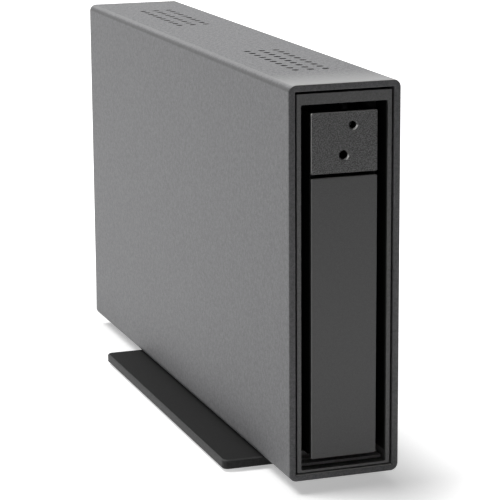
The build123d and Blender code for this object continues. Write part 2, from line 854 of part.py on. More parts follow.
drive_screw = countersunk_screw(m3_r, csk_head_r, csk_head_t, rail_bottom_t + drive_screw_bite)
with BuildPart() as drive_screws:
    for y in drive_screw_y:
        with Locations(Plane(origin=(drive_screw_x, y, carrier_top_z))):
            add(drive_screw)
        with Locations(Plane(origin=(drive_screw_x, y, carrier_z), x_dir=(1, 0, 0), z_dir=(0, 0, -1))):
            add(drive_screw)
finish(drive_screws, "drive_screws")

# Backplane across the cage, with the socket that the drive's plug slides onto
with BuildPart() as backplane_board:
    backplane_half = mouth_w / 2 - backplane_clear
    block(
        (-backplane_half, backplane_half),
        (backplane_y, backplane_rear_y),
        (floor_z + cage_t, floor_z + cage_t + backplane_h),
    )
finish(backplane_board, "backplane_board")

with BuildPart() as sata_socket:
    block(
        (plug_x, plug_x + plug_t),
        (drive_rear_y + socket_clear, backplane_y),
        (plug_z - plug_l / 2, plug_z + plug_l / 2),
    )
    inset = plug_wall + socket_clear
    insert_y = plug_rear_y - plug_cavity + socket_clear
    block(
        (plug_x + inset, plug_x + plug_t - inset),
        (insert_y, drive_rear_y + socket_clear),
        (plug_z - plug_l / 2 + inset, plug_z + plug_l / 2 - inset),
    )
    block(
        (tongue_mid - tongue_t / 2 - socket_clear, tongue_mid + tongue_t / 2 + socket_clear),
        (insert_y, plug_rear_y - plug_wall + socket_clear),
        (plug_z - tongue_l / 2 - socket_clear, plug_z + tongue_l / 2 + socket_clear),
        mode=Mode.SUBTRACT,
    )
finish(sata_socket, "sata_socket")

# Bridge board, upright beside the ports, on standoffs from the wall of the cage
board_front_y = backplane_rear_y + board_rear_gap
board_z = (underside_z + board_from, underside_z + switch_up + board_over_switch)
board_holes = [
    (y, z)
    for y in (board_front_y + board_inset, board_rear_y - board_inset)
    for z in (board_z[0] + board_inset, board_z[1] - board_inset)
]
with BuildPart() as bridge_board:
    block((board_x - board_t, board_x), (board_front_y, board_rear_y), board_z)
    with BuildSketch(along(board_x)):
        with Locations(*board_holes):
            Circle(m25_r + screw_clear)
    extrude(amount=-board_t, mode=Mode.SUBTRACT)
finish(bridge_board, "bridge_board")

standoff_l = board_x - board_t + mouth_w / 2
with BuildPart() as board_standoffs:
    with BuildSketch(along(-mouth_w / 2)):
        with Locations(*board_holes):
            RegularPolygon(standoff_r, 6)
            Circle(m25_r + screw_clear, mode=Mode.SUBTRACT)
    extrude(amount=standoff_l)
finish(board_standoffs, "board_standoffs")

board_screw = pan_screw(m25_r, m25_pan_r, pan_head_t, board_t + standoff_l / 2)
with BuildPart() as board_screws:
    for y, z in board_holes:
        with Locations(Plane(origin=(board_x, y, z), x_dir=(0, 1, 0), z_dir=(1, 0, 0))):
            add(board_screw)
finish(board_screws, "board_screws")

with BuildPart() as board_link:
    link_z = underside_z + jack_up
    block(
        (board_x, board_x + link_t),
        (backplane_rear_y, backplane_rear_y + link_t),
        (link_z, link_z + link_l),
    )
finish(board_link, "board_link")

# Parts on the bridge board: two chips, a coil and two capacitors
with BuildPart() as bridge_chips:
    chip_y = board_front_y + board_inset * 2
    for size, height, z in (
        (bridge_chip_w, chip_t, usb_up),
        (clock_chip_w, chip_t, switch_up),
        (coil_w, coil_h, jack_up),
    ):
        block(
            (board_x, board_x + height),
            (chip_y, chip_y + size),
            (underside_z + z, underside_z + z + size),
        )
    with BuildSketch(along(board_x)):
        with Locations((chip_y + capacitor_r * 2, underside_z + lock_slot_up + capacitor_r)):
            with GridLocations(capacitor_pitch, 1, 2, 1):
                Circle(capacitor_r)
    extrude(amount=capacitor_h)
finish(bridge_chips, "bridge_chips")

# Power switch: body with its bezel on the panel, and a rocker that stands at its off tilt
switch_z = underside_z + switch_up
rocker_y = panel_out_y - rocker_down
switch_half_x = rocker_w / 2 + rocker_run + switch_wall
switch_half_z = rocker_half + 2 * rocker_run + switch_wall
cavity_depth = rocker_down + rocker_barrel_r + rocker_run
with BuildPart() as switch_body:
    with BuildSketch(across(panel_out_y - switch_depth)):
        with Locations((0, switch_z)):
            Rectangle(2 * switch_half_x, 2 * switch_half_z)
    extrude(amount=-switch_depth)
    with BuildSketch(across(panel_out_y)):
        with Locations((0, switch_z)):
            RectangleRounded(
                2 * (switch_half_x + switch_flange), 2 * (switch_half_z + switch_flange), switch_flange
            )
    extrude(amount=-switch_flange_t)
    with BuildSketch(across(panel_out_y + switch_flange_t)):
        with Locations((0, switch_z)):
            Rectangle(rocker_w + 2 * rocker_run, 2 * (rocker_half + 2 * rocker_run))
    extrude(amount=cavity_depth + switch_flange_t, mode=Mode.SUBTRACT)
    with BuildSketch(along(-switch_half_x)):
        with Locations((rocker_y, switch_z)):
            Circle(rocker_axle_r + pin_run)
    extrude(amount=2 * switch_half_x, mode=Mode.SUBTRACT)
    pin_y = panel_out_y - switch_depth + switch_wall
    with BuildSketch(along(board_x)):
        with Locations(*[(pin_y, switch_z + k * switch_pin_pitch) for k in (-1, 0, 1)]):
            Circle(switch_pin_r)
    extrude(amount=-board_x - switch_half_x)
finish(switch_body, "switch_body")

with BuildPart() as power_rocker:
    tilt = radians(rocker_tilt)
    tilted = Plane(
        origin=(-rocker_w / 2, rocker_y, switch_z),
        x_dir=(0, cos(tilt), sin(tilt)),
        z_dir=(1, 0, 0),
    )
    face_up = rocker_down + switch_flange_t
    wing = rocker_half * sin(tilt)
    with BuildSketch(tilted):
        with BuildLine():
            Polyline(
                (0, -rocker_barrel_r),
                (rocker_down / 2, -rocker_half),
                (face_up + wing, -rocker_half),
                (face_up - rocker_hollow, 0),
                (face_up + wing, rocker_half),
                (rocker_down / 2, rocker_half),
                (0, rocker_barrel_r),
                close=True,
            )
        make_face()
        Circle(rocker_barrel_r)
    extrude(amount=rocker_w)
    axle_l = rocker_w + 2 * (rocker_run + switch_wall / 2)
    with BuildSketch(along(-axle_l / 2)):
        with Locations((rocker_y, switch_z)):
            Circle(rocker_axle_r)
    extrude(amount=axle_l)
finish(power_rocker, "power_rocker")

# Data port: square-shouldered shell with its step, and the tongue inside
usb_z = underside_z + usb_up
with BuildPart() as usb_port:
    block(
        (board_x, board_x + port_h),
        (panel_y - port_l, panel_out_y),
        (usb_z - port_half_w, usb_z + port_half_w),
    )
    low_x = board_x + (port_h - port_full_h) / 2
    step_x = low_x + port_low_h
    high_x = low_x + port_full_h
    shoulder = port_low_w / 2
    tongue_half = port_high_w / 2
    with BuildSketch(across(panel_out_y)):
        with BuildLine():
            Polyline(
                (low_x, usb_z - shoulder),
                (low_x, usb_z + shoulder),
                (step_x - port_corner, usb_z + shoulder),
                (step_x, usb_z + tongue_half),
                (high_x, usb_z + tongue_half),
                (high_x, usb_z - tongue_half),
                (step_x, usb_z - tongue_half),
                (step_x - port_corner, usb_z - shoulder),
                close=True,
            )
        make_face()
    extrude(amount=port_cavity, mode=Mode.SUBTRACT)
    tongue_x = low_x + port_low_h / 2
    block(
        (tongue_x - port_tongue_t / 2, tongue_x + port_tongue_t / 2),
        (panel_out_y - port_cavity, panel_out_y - port_corner),
        (usb_z - tongue_half, usb_z + tongue_half),
    )
finish(usb_port, "usb_port")

# Power inlet: round barrel jack with its centre pin
jack_z = underside_z + jack_up
with BuildPart() as dc_jack:
    block(
        (board_x, board_x + port_h),
        (panel_y - jack_l, panel_y),
        (jack_z - jack_half_w, jack_z + jack_half_w),
    )
    with BuildSketch(across(panel_y)):
        with Locations((0, jack_z)):
            Circle(jack_ring_r)
    extrude(amount=-panel_t)
    with BuildSketch(across(panel_out_y)):
        with Locations((0, jack_z)):
            Circle(jack_bore_r)
            Circle(jack_pin_r, mode=Mode.SUBTRACT)
    extrude(amount=jack_bore_l, mode=Mode.SUBTRACT)
finish(dc_jack, "dc_jack")

# Rear panel with its cut-outs
panel_screw_places = [
    (x, z)
    for x in (-panel_screw_x, panel_screw_x)
    for z in (floor_z + cage_t + panel_screw_in, mouth_top_z - panel_screw_in)
]
with BuildPart() as rear_panel:
    panel_w = inner_w - 2 * panel_clear
    panel_h = inner_h - 2 * panel_clear
    with BuildSketch(across(panel_y)):
        with Locations((0, body_mid_z)):
            RectangleRounded(panel_w, panel_h, body_inner_r)
        with Locations((0, underside_z + panel_vent_up)):
            with GridLocations(vent_pitch, vent_pitch, panel_vent_columns, panel_vent_rows):
                Circle(vent_r, mode=Mode.SUBTRACT)
        with Locations((0, switch_z)):
            Rectangle(
                2 * (switch_half_x + port_clear), 2 * (switch_half_z + port_clear), mode=Mode.SUBTRACT
            )
        with Locations((0, usb_z)):
            Rectangle(port_h + 2 * port_clear, 2 * (port_half_w + port_clear), mode=Mode.SUBTRACT)
        with Locations((0, jack_z)):
            Circle(jack_ring_r + port_clear, mode=Mode.SUBTRACT)
        with Locations((0, underside_z + lock_slot_up)):
            RectangleRounded(lock_slot_w, lock_slot_l, lock_slot_r, mode=Mode.SUBTRACT)
        with Locations(*panel_screw_places):
            Circle(m3_r + screw_clear, mode=Mode.SUBTRACT)
    extrude(amount=-panel_t)
finish(rear_panel, "rear_panel")

panel_screw = pan_screw(m3_r, pan_head_r, pan_head_t, panel_t + cage_t + panel_t)
with BuildPart() as rear_panel_screws:
    for x, z in panel_screw_places:
        with Locations(Plane(origin=(x, panel_out_y, z), x_dir=(-1, 0, 0), z_dir=(0, 1, 0))):
            add(panel_screw)
finish(rear_panel_screws, "rear_panel_screws")

# Stand: a flat plate under the body, its rubber feet and the screws that hold it
foot_places = [
    (x, y)
    for x in (-stand_w / 2 + foot_inset, stand_w / 2 - foot_inset)
    for y in (stand_mid_y - stand_l / 2 + foot_inset, stand_mid_y + stand_l / 2 - foot_inset)
]
with BuildPart() as stand_plate:
    with BuildSketch(Plane.XY.offset(foot_proud)):
        with Locations((0, stand_mid_y)):
            RectangleRounded(stand_w, stand_l, stand_corner_r)
    extrude(amount=stand_t)
    for rim in (stand_plate.faces().sort_by(Axis.Z)[0], stand_plate.faces().sort_by(Axis.Z)[-1]):
        chamfer(rim.edges(), stand_chamfer)
    with BuildSketch(Plane.XY.offset(foot_proud)):
        with Locations(*foot_places):
            Circle(foot_r + port_clear)
    extrude(amount=foot_t - foot_proud, mode=Mode.SUBTRACT)
    under = Plane(origin=(0, stand_mid_y, foot_proud), x_dir=(1, 0, 0), z_dir=(0, 0, -1))
    with Locations(under):
        with GridLocations(stand_screw_pitch_x, stand_screw_pitch_y, 2, 2):
            CounterSinkHole(m3_r + screw_clear, csk_head_r + screw_clear, depth=stand_t)
finish(stand_plate, "stand_plate")

stand_screw = countersunk_screw(m3_r, csk_head_r, csk_head_t, stand_t + body_wall - panel_clear)
with BuildPart() as stand_screws:
    with Locations(under):
        with GridLocations(stand_screw_pitch_x, stand_screw_pitch_y, 2, 2):
            add(stand_screw)
finish(stand_screws, "stand_screws")

with BuildPart() as stand_feet:
    with BuildSketch(Plane.XY):
        with Locations(*foot_places):
            Circle(foot_r)
    extrude(amount=foot_t)
    chamfer(stand_feet.edges().group_by(Axis.Z)[0], stand_chamfer / 2)
finish(stand_feet, "stand_feet")

print(f"body {body_w:.1f} x {body_l:.1f} x {body_h:.1f}, standing {body_top_z:.1f} high")
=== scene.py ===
# %% [markdown]
# # An upright drive enclosure, dressed around its construction
# The construction model is already there: every piece at its real size, on the body that it moves
# with. This lesson gives it the look of the real thing: blasted and anodised aluminium, a grained
# latch, circuit boards and the small metal parts that show when the carrier is pulled out.

# %% Load the fixed frame
import bmesh
import bpy
import json
from math import cos, pi, radians, sin
from mathutils import Matrix, Vector

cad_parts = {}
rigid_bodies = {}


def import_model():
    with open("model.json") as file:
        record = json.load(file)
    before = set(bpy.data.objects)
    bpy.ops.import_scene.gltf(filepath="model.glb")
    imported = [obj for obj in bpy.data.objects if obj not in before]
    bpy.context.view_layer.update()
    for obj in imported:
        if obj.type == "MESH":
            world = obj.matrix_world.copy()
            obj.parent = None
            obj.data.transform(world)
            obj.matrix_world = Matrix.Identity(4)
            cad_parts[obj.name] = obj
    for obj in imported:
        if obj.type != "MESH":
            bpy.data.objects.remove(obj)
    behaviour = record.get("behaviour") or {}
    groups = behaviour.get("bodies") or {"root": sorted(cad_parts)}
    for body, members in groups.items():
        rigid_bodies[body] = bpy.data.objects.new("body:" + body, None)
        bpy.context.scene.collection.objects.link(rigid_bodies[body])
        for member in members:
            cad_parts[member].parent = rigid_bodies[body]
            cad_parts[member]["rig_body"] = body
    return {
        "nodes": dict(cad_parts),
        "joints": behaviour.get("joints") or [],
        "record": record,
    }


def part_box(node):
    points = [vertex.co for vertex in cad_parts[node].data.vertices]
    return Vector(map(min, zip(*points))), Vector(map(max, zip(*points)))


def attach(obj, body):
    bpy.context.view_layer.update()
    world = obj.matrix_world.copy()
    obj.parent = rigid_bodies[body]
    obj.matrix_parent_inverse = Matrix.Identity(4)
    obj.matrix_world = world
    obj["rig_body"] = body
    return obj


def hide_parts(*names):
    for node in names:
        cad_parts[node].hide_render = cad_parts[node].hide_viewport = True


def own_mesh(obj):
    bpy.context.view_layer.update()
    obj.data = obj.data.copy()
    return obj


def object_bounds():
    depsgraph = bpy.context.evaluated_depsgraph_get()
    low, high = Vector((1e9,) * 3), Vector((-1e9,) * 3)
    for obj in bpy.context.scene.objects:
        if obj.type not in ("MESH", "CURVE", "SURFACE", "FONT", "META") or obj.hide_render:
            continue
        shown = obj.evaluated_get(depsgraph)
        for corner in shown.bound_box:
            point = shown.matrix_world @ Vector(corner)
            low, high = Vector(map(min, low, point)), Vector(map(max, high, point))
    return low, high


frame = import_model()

cad_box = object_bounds()
nodes = frame["nodes"]
joints = {joint["name"]: joint for joint in frame["joints"]}
slots = {row["node"]: row["material_slot"] for row in frame["record"]["subparts"]}
mm = 0.001
print("construction nodes:", len(nodes), "joints:", ", ".join(joints))
print("construction box:", [round(v, 4) for corner in cad_box for v in corner])

# %% [markdown]
# ## The camera first
# A photograph is matched from its vanishing lines. A long lens a short step away gives the gentle
# convergence seen here, so the camera is placed by the three angles of its body, and by where its
# middle ray starts. Its right, up and back directions make the rotation matrix.

# %% Place the camera
camera_azimuth = radians(-19.2313)
camera_elevation = radians(12.9137)
camera_roll = radians(-0.3791)
camera_place = Vector((-0.23222, -0.68810, 0.21603))
sensor = 36.0
focal_length = 161.02


def camera_axes(azimuth, elevation, roll):
    """Right, up and back directions of a camera that circles the object at that azimuth."""
    back = Vector((sin(azimuth) * cos(elevation), -cos(azimuth) * cos(elevation), sin(elevation)))
    level = Vector((0, 0, 1)).cross(back).normalized()
    upright = back.cross(level)
    right = cos(roll) * level + sin(roll) * upright
    up = -sin(roll) * level + cos(roll) * upright
    return right, up, back


lens = bpy.data.cameras.new("camera")
lens.sensor_width = sensor
lens.lens = focal_length
lens.dof.use_dof = False
camera = bpy.data.objects.new("camera", lens)
bpy.context.scene.collection.objects.link(camera)
turn = Matrix(camera_axes(camera_azimuth, camera_elevation, camera_roll)).transposed()
camera.matrix_world = Matrix.Translation(camera_place) @ turn.to_4x4()
bpy.context.scene.camera = camera
print("camera distance from the middle of the front:", round(camera_place.length, 3), "m")

# %% [markdown]
# ## Arithmetic on sockets
# A procedural finish is mostly arithmetic on noises. Wiring Math nodes by hand hides that, so one
# small class wraps a socket and lets Python's own operators add the nodes. Everything that isn't
# arithmetic comes from its one method, `node`.

# %% The Field class
class Field:
    """An output socket in a node tree, with arithmetic that adds Math nodes."""

    def __init__(self, tree, socket=None):
        self.tree = tree
        self.socket = socket

    def plug(self, target, value):
        """Link a field to an input socket, or write a plain value on it."""
        if isinstance(value, Field):
            self.tree.links.new(value.socket, target)
        else:
            target.default_value = value

    def node(self, kind, settings=None, inputs=None, output=0):
        """Add any node: its settings are set first, then its inputs by name or by number."""
        made = self.tree.nodes.new(kind)
        for name, value in (settings or {}).items():
            setattr(made, name, value)
        for name, value in (inputs or {}).items():
            self.plug(made.inputs[name], value)
        return Field(self.tree, made.outputs[output])

    def math(self, operation, *others):
        """One Math node on this field and the others."""
        values = dict(enumerate((self, *others)))
        return self.node("ShaderNodeMath", {"operation": operation}, values)

    def __add__(self, other):
        return self.math("ADD", other)

    __radd__ = __add__

    def __sub__(self, other):
        return self.math("SUBTRACT", other)

    def __rsub__(self, other):
        return (self * -1.0) + other

    def __mul__(self, other):
        return self.math("MULTIPLY", other)

    __rmul__ = __mul__

    def __truediv__(self, other):
        return self.math("DIVIDE", other)

    def clamp(self):
        """The field, held between 0 and 1."""
        return self.math("MAXIMUM", 0.0).math("MINIMUM", 1.0)

    def step(self, low, high):
        """0 below low, 1 above high, and a smooth rise between them."""
        rise = {"interpolation_type": "SMOOTHSTEP"}
        return self.node("ShaderNodeMapRange", rise, {0: self, 1: low, 2: high, 3: 0.0, 4: 1.0})


# %% [markdown]
# ## Finishes
# Each finish starts from object coordinates in metres, so a grain of a quarter of a millimetre is a
# noise of scale 4000. A finish is two colours mixed by what varies over it, a roughness that
# follows the same grain, and a bump so small that it only breaks up the light.

# %% Helpers for finishes
def tone(value, tint=(1.0, 1.0, 1.0)):
    """A grey of that strength with a slight tint, as an RGBA colour."""
    return tuple(value * part for part in tint) + (1.0,)


def new_finish(name):
    """A material with a fresh Principled shader; returns it, its shader and its place field."""
    material = bpy.data.materials.new(name)
    material.use_nodes = True
    tree = material.node_tree
    tree.nodes.clear()
    shader = tree.nodes.new("ShaderNodeBsdfPrincipled")
    end = tree.nodes.new("ShaderNodeOutputMaterial")
    tree.links.new(shader.outputs[0], end.inputs["Surface"])
    place = Field(tree).node("ShaderNodeTexCoord", output=3)
    return material, shader, place


def noise(place, size, detail=2.0, rough=0.5):
    """Noise from 0 to 1 whose features are about that size, in metres."""
    values = {"Vector": place, "Scale": 1.0 / size, "Detail": detail, "Roughness": rough}
    return place.node("ShaderNodeTexNoise", {"noise_dimensions": "3D"}, values)


def blend_tones(place, factor, low, high):
    """Colour that goes from low to high as the factor goes from 0 to 1."""
    kind = {"data_type": "RGBA", "blend_type": "MIX"}
    return place.node("ShaderNodeMix", kind, {0: factor, 6: low, 7: high}, output=2)


def bump(place, height, distance, strength=1.0):
    """Normal of a surface raised by height times distance, in metres."""
    values = {"Height": height, "Distance": distance, "Strength": strength}
    return place.node("ShaderNodeBump", {}, values)


def wire(place, shader, **values):
    """Feed the shader's inputs by name, with underscores for spaces."""
    for name, value in values.items():
        place.plug(shader.inputs[name.replace("_", " ")], value)


# %% [markdown]
# ### Where a finish changes
# Few surfaces look the same all over. The fields below go from 0 to 1 and say where a finish
# changes, by the way that the surface faces or by its place on the object. Most of them place
# painted light. A painted highlight lies on the upper front edges, and an edge is found by its
# own direction, halfway between facing the front and facing up. Behind the front plates and
# inside the vent holes painted shade takes the colour to black, where little light reaches.

# %% Fields that find edges, recesses and holes
front_y, rear_y = cad_box[0].y, cad_box[1].y
roof_z = cad_box[1].z
sink_depth = 0.4 * mm


def axis_of(place, axis):
    """One coordinate of a vector field."""
    return place.node("ShaderNodeSeparateXYZ", {}, {0: place}, output=axis)


def facing_of(place):
    """The direction that the surface faces, as a vector field."""
    return place.node("ShaderNodeTexCoord", output=1)


def within(field, middle, reach, border):
    """1 where the field is that near to the middle value, and 0 from the border outwards."""
    return 1.0 - (field - middle).math("ABSOLUTE").step(reach, reach + border)


# mask of the painted highlight on the upper front edges
def upper_edge_highlight(place):
    """1 on edges between the front's direction and the top's, 0 on flat faces."""
    forward = axis_of(facing_of(place), 1)
    upward = axis_of(facing_of(place), 2).math("MAXIMUM", 0.0)
    most = 0.25  # of the product of both squares, reached halfway
    return (forward * forward * upward * upward / most).step(0.25, 0.9)


# mask of the painted highlight on chamfers facing the upper left, as on the holes' rims
def upper_left_edge_highlight(place):
    """1 on chamfers that face the front and the upper left, less on other upper edges."""
    both = {0: facing_of(place), 1: Vector((-1.0, -1.4, 1.0)).normalized()}
    alike = place.node("ShaderNodeVectorMath", {"operation": "DOT_PRODUCT"}, both, output=1)
    return alike.step(0.78, 0.97)


def painted_broad_face_shade(place):
    """1 on level faces and 0 on upright ones: where painted shade blackens the plate."""
    return axis_of(facing_of(place), 2).math("ABSOLUTE").step(0.8, 0.95)


def painted_shade_above_ledge(place):
    """Painted shade: 1 on the moulding above its ledge, in the dark round the plates."""
    ledge_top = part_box("carrier_nose")[0].z + 2.6 * mm
    return axis_of(place, 2).step(ledge_top, ledge_top + 0.6 * mm)


def painted_moat_shade(place, start=0.9 * mm, end=1.8 * mm):
    """1 deeper than that behind the front: painted shade in the moat round the plates."""
    return axis_of(place, 1).step(front_y + start, front_y + end) * painted_shade_above_ledge(place)


def painted_shade_behind_sinks(place):
    """Painted shade, 1 deeper than the widened rims of the holes in the latch plate."""
    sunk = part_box("latch_plate")[0].y - front_y + sink_depth
    return painted_moat_shade(place, sunk - 0.05 * mm, sunk + 0.4 * mm)


def painted_hole_shade(place):
    """Painted shade: 1 on upright walls in the roof, off its ends: those of the vent holes."""
    upright = within(axis_of(facing_of(place), 2), 0.0, 0.3, 0.3)
    middle = within(axis_of(place, 0), 0.0, 8.0 * mm, 0.5 * mm)
    off_ends = within(axis_of(place, 1), 0.0, rear_y - 9.0 * mm, 1.0 * mm)
    in_roof = axis_of(place, 2).step(roof_z - 3.0 * mm, roof_z - 2.5 * mm)
    return upright * middle * off_ends * in_roof


def painted_corner_light(place, colour, grey):
    """Painted highlight over painted shade on long corners, and a highlight at the roof's front."""
    rise = axis_of(facing_of(place), 2)  # 0 on the sides, 1 on the roof
    # painted highlight on the upper part of each long rounding, painted shade on its lower part
    bright = rise.step(0.6, 0.85) * (1.0 - rise.step(0.96, 0.999))
    dark = rise.step(0.05, 0.3) * (1.0 - rise.step(0.45, 0.75))
    # painted highlight: the roof pales over its first centimetres behind the front
    to_rear = axis_of(place, 1).step(front_y - 4.0 * mm, front_y + 26.0 * mm)
    pale = (1.0 - to_rear) * rise.step(0.8, 0.97)
    colour = blend_tones(place, bright * 0.45, colour, tone(grey * 1.7))
    colour = blend_tones(place, pale, colour, tone(grey * 2.1))
    return blend_tones(place, dark * 0.65, colour, tone(grey * 0.4))


plate_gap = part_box("latch_plate")[0].y - front_y
print("the latch plate lies", round(plate_gap / mm, 2), "mm behind the rim")

# %% [markdown]
# ### Blasted metal, powder coat and eroded plastic
# Anodised aluminium that was blasted with fine beads is an even grey with a dense, shallow pitting.
# Up close it sparkles a little, because each pit faces its own way, and from a step away only a
# faint speckle is left. The long cloud underneath keeps a large side from looking like plain paint.
# Powder coat and eroded moulds give the same pattern in other sizes, so one function makes them
# all, and a table says how they differ. Grain and depth are lengths, contrast is how far the
# speckle moves the colour, and edge, lines and shade bring in the fields from above, as painted
# highlights and painted shade.

# %% Grained finishes
# pale grey of the painted highlights on edges and rims
painted_highlight_grey = tone(0.8, (1.0, 0.99, 0.97))
# black of the painted shade, and of the port's plastic tongue
black = tone(0.01)


def grained(
    name,
    grey,
    rough,
    grain,
    depth,
    contrast,
    metallic=0.0,
    gloss=0.5,
    mottled=1.1,
    roof_grain=0.0,
    tint=(1.0, 1.0, 1.0),
    edge=0.0,
    edges=upper_edge_highlight,
    highlight_metallic=0.0,
    lines=None,
    shade=None,
):
    """Grey surface with a dense grain, with painted highlights and shade where they are given."""
    material, shader, place = new_finish(name)
    speckle = noise(place, grain, detail=3.0, rough=0.6)
    mottle = noise(place, grain * 3.5, detail=1.0)
    cloud = noise(place, 45.0 * mm, detail=2.0)
    spread = (speckle - 0.5) * 2.2 + (mottle - 0.5) * mottled
    if roof_grain:
        level = axis_of(facing_of(place), 2).math("ABSOLUTE")
        spread = spread * (level * roof_grain + 1.0)
    mix = (spread * contrast + (cloud - 0.5) * 0.25 + 0.5).clamp()
    reach = 0.28 * max(1.0, contrast)
    darkest, lightest = tone(grey * (1.0 - reach), tint), tone(grey * (1.0 + reach), tint)
    colour = blend_tones(place, mix, darkest, lightest)
    roughness = rough + (speckle - 0.5) * 0.12 + (cloud - 0.5) * 0.04
    shader.inputs["Specular IOR Level"].default_value = gloss
    # painted light and shade along the housing's long corners
    if lines:
        colour = lines(place, colour, grey)
    # painted highlight: edges that the mask finds go towards a pale grey, and more metallic
    if edge:
        bright = edges(place) * edge
        colour = blend_tones(place, bright, colour, painted_highlight_grey)
        roughness = roughness - bright * 0.15
        if highlight_metallic:
            metallic = bright * highlight_metallic + metallic
    # painted shade: the colour goes to black where the shade field is 1
    if shade:
        colour = blend_tones(place, shade(place), colour, black)
    wire(
        place,
        shader,
        Base_Color=colour,
        Metallic=metallic,
        Roughness=roughness,
        Normal=bump(place, speckle, depth),
    )
    return material


# In this table edge and its mask set painted highlights, lines the painted light of the housing's
# corners, and shade painted shade.
grained_table = {
    "body_aluminium": dict(
        grey=0.225,
        tint=(0.995, 0.995, 1.025),
        metallic=0.1,
        rough=0.58,
        grain=0.3 * mm,
        depth=0.02 * mm,
        contrast=1.0,
        roof_grain=2.0,
        edge=0.7,
        lines=painted_corner_light,
        shade=painted_hole_shade,
    ),
    "bezel_black": dict(
        grey=0.175,
        metallic=0.2,
        rough=0.5,
        grain=0.22 * mm,
        depth=0.015 * mm,
        contrast=0.9,
        edge=0.3,
        shade=painted_moat_shade,
    ),
    "lever_aluminium": dict(
        grey=0.145,
        metallic=0.2,
        rough=0.5,
        grain=0.25 * mm,
        depth=0.01 * mm,
        contrast=0.8,
        mottled=0.3,
        edge=0.7,
        edges=upper_left_edge_highlight,
        shade=painted_moat_shade,
    ),
    "latch_black": dict(
        grey=0.165,
        metallic=0.2,
        rough=0.5,
        grain=0.34 * mm,
        depth=0.12 * mm,
        contrast=2.2,
        mottled=0.0,
        edge=0.9,
        edges=upper_left_edge_highlight,
        highlight_metallic=0.9,
        shade=painted_shade_behind_sinks,
    ),
    # painted shade on the stand's level faces; its upright edges keep the grey
    "stand_black": dict(
        grey=0.07,
        rough=0.6,
        grain=0.3 * mm,
        depth=0.02 * mm,
        contrast=0.8,
        gloss=0.2,
        shade=painted_broad_face_shade,
    ),
    "panel_black": dict(
        grey=0.035, metallic=0.1, rough=0.55, grain=0.35 * mm, depth=0.03 * mm, contrast=0.6
    ),
    "nose_black": dict(
        grey=0.6,  # of the ledge, a painted highlight; painted shade blackens the rest
        rough=0.6,
        grain=0.2 * mm,
        depth=0.01 * mm,
        contrast=0.5,
        gloss=0.1,
        shade=painted_shade_above_ledge,
    ),
    "connector_black": dict(
        grey=0.018, rough=0.4, grain=0.15 * mm, depth=0.006 * mm, contrast=0.5
    ),
    "chip_black": dict(grey=0.025, rough=0.5, grain=0.12 * mm, depth=0.006 * mm, contrast=0.5),
    "foot_rubber": dict(grey=0.03, rough=0.8, grain=0.2 * mm, depth=0.02 * mm, contrast=0.6),
    "drive_casting": dict(
        grey=0.3, metallic=0.9, rough=0.42, grain=0.5 * mm, depth=0.03 * mm, contrast=0.4
    ),
}
finishes = {name: grained(name, **settings) for name, settings in grained_table.items()}
print("grained finishes:", ", ".join(finishes))

# %% [markdown]
# ### Marks on the rocker
# The rocker of the switch has a bar for on and a ring for off. They are printed, so they belong to
# the finish: two small distances, from a circle and from a line, decide where the white ink lies.

# %% Rocker finish
def rocker_finish(name, middle):
    """Glossy black plastic with a white bar above the middle and a ring below it."""
    material, shader, place = new_finish(name)
    across, upward = axis_of(place, 0), axis_of(place, 2)
    mark_up, mark_size = 3.1 * mm, 1.0 * mm
    half_line, soft = 0.176 * mm, 0.088 * mm
    from_ring = upward - (middle - mark_up)
    radius = (across * across + from_ring * from_ring).math("SQRT")
    ring = within(radius, mark_size, half_line, soft)
    bar = within(across, 0.0, half_line, soft)
    bar = bar * within(upward, middle + mark_up, mark_size, 0.06 * mm)
    ink = ring.math("MAXIMUM", bar)
    grain = noise(place, 0.3 * mm)
    plastic = blend_tones(place, grain, tone(0.016), tone(0.028))
    wire(
        place,
        shader,
        Base_Color=blend_tones(place, ink, plastic, tone(0.75)),
        Roughness=0.28 + (grain - 0.5) * 0.1 + ink * 0.2,
        Normal=bump(place, grain, 0.004 * mm),
    )
    return material


rocker_low, rocker_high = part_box("power_rocker")
rocker_middle = (rocker_low.z + rocker_high.z) / 2
finishes["rocker_black"] = rocker_finish("rocker_black", rocker_middle)
print("rocker marks around", round(rocker_middle / mm, 1), "mm up")

# %% [markdown]
# ### Brushed and plated metal
# Sheet metal has fine lines along the way that it was rolled or brushed. Stretching the noise's
# coordinates along one axis draws them. The port's shell and its plastic tongue are one piece, so
# its finish also says where the tongue is.

# %% Drawn and plated finishes
def port_tongue(place):
    """1 on the tongue inside the port's shell, which is black plastic."""
    low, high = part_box("usb_port")
    border = 0.02 * mm
    beside = within(axis_of(place, 0), low.x + 4.2 * mm, 1.6 * mm, border)
    level = within(axis_of(place, 2), (low.z + high.z) / 2, 2.85 * mm, border)
    sunk = 1.0 - axis_of(place, 1).step(high.y - 1.1 * mm, high.y - 1.0 * mm)
    return beside * level * sunk


def brushed(name, grey, rough, along, tint=(1.0, 1.0, 1.0), shade=None):
    """Bright metal with fine lines along one axis, given as 0, 1 or 2."""
    material, shader, place = new_finish(name)
    stretch = [1.0, 1.0, 1.0]
    stretch[along] = 0.02
    drawn = place.node("ShaderNodeMapping", {}, {"Vector": place, "Scale": stretch})
    lines = noise(drawn, 0.25 * mm, detail=3.0)
    cloud = noise(place, 30.0 * mm, detail=2.0)
    mix = (lines * 0.8 + cloud * 0.2).clamp()
    colour = blend_tones(place, mix, tone(grey * 0.8, tint), tone(grey * 1.15, tint))
    if shade:
        colour = blend_tones(place, shade(place), colour, black)
    shader.inputs["Metallic"].default_value = 1.0
    wire(
        place,
        shader,
        Base_Color=colour,
        Roughness=rough + (lines - 0.5) * 0.15,
        Normal=bump(place, lines, 0.006 * mm),
    )
    return material


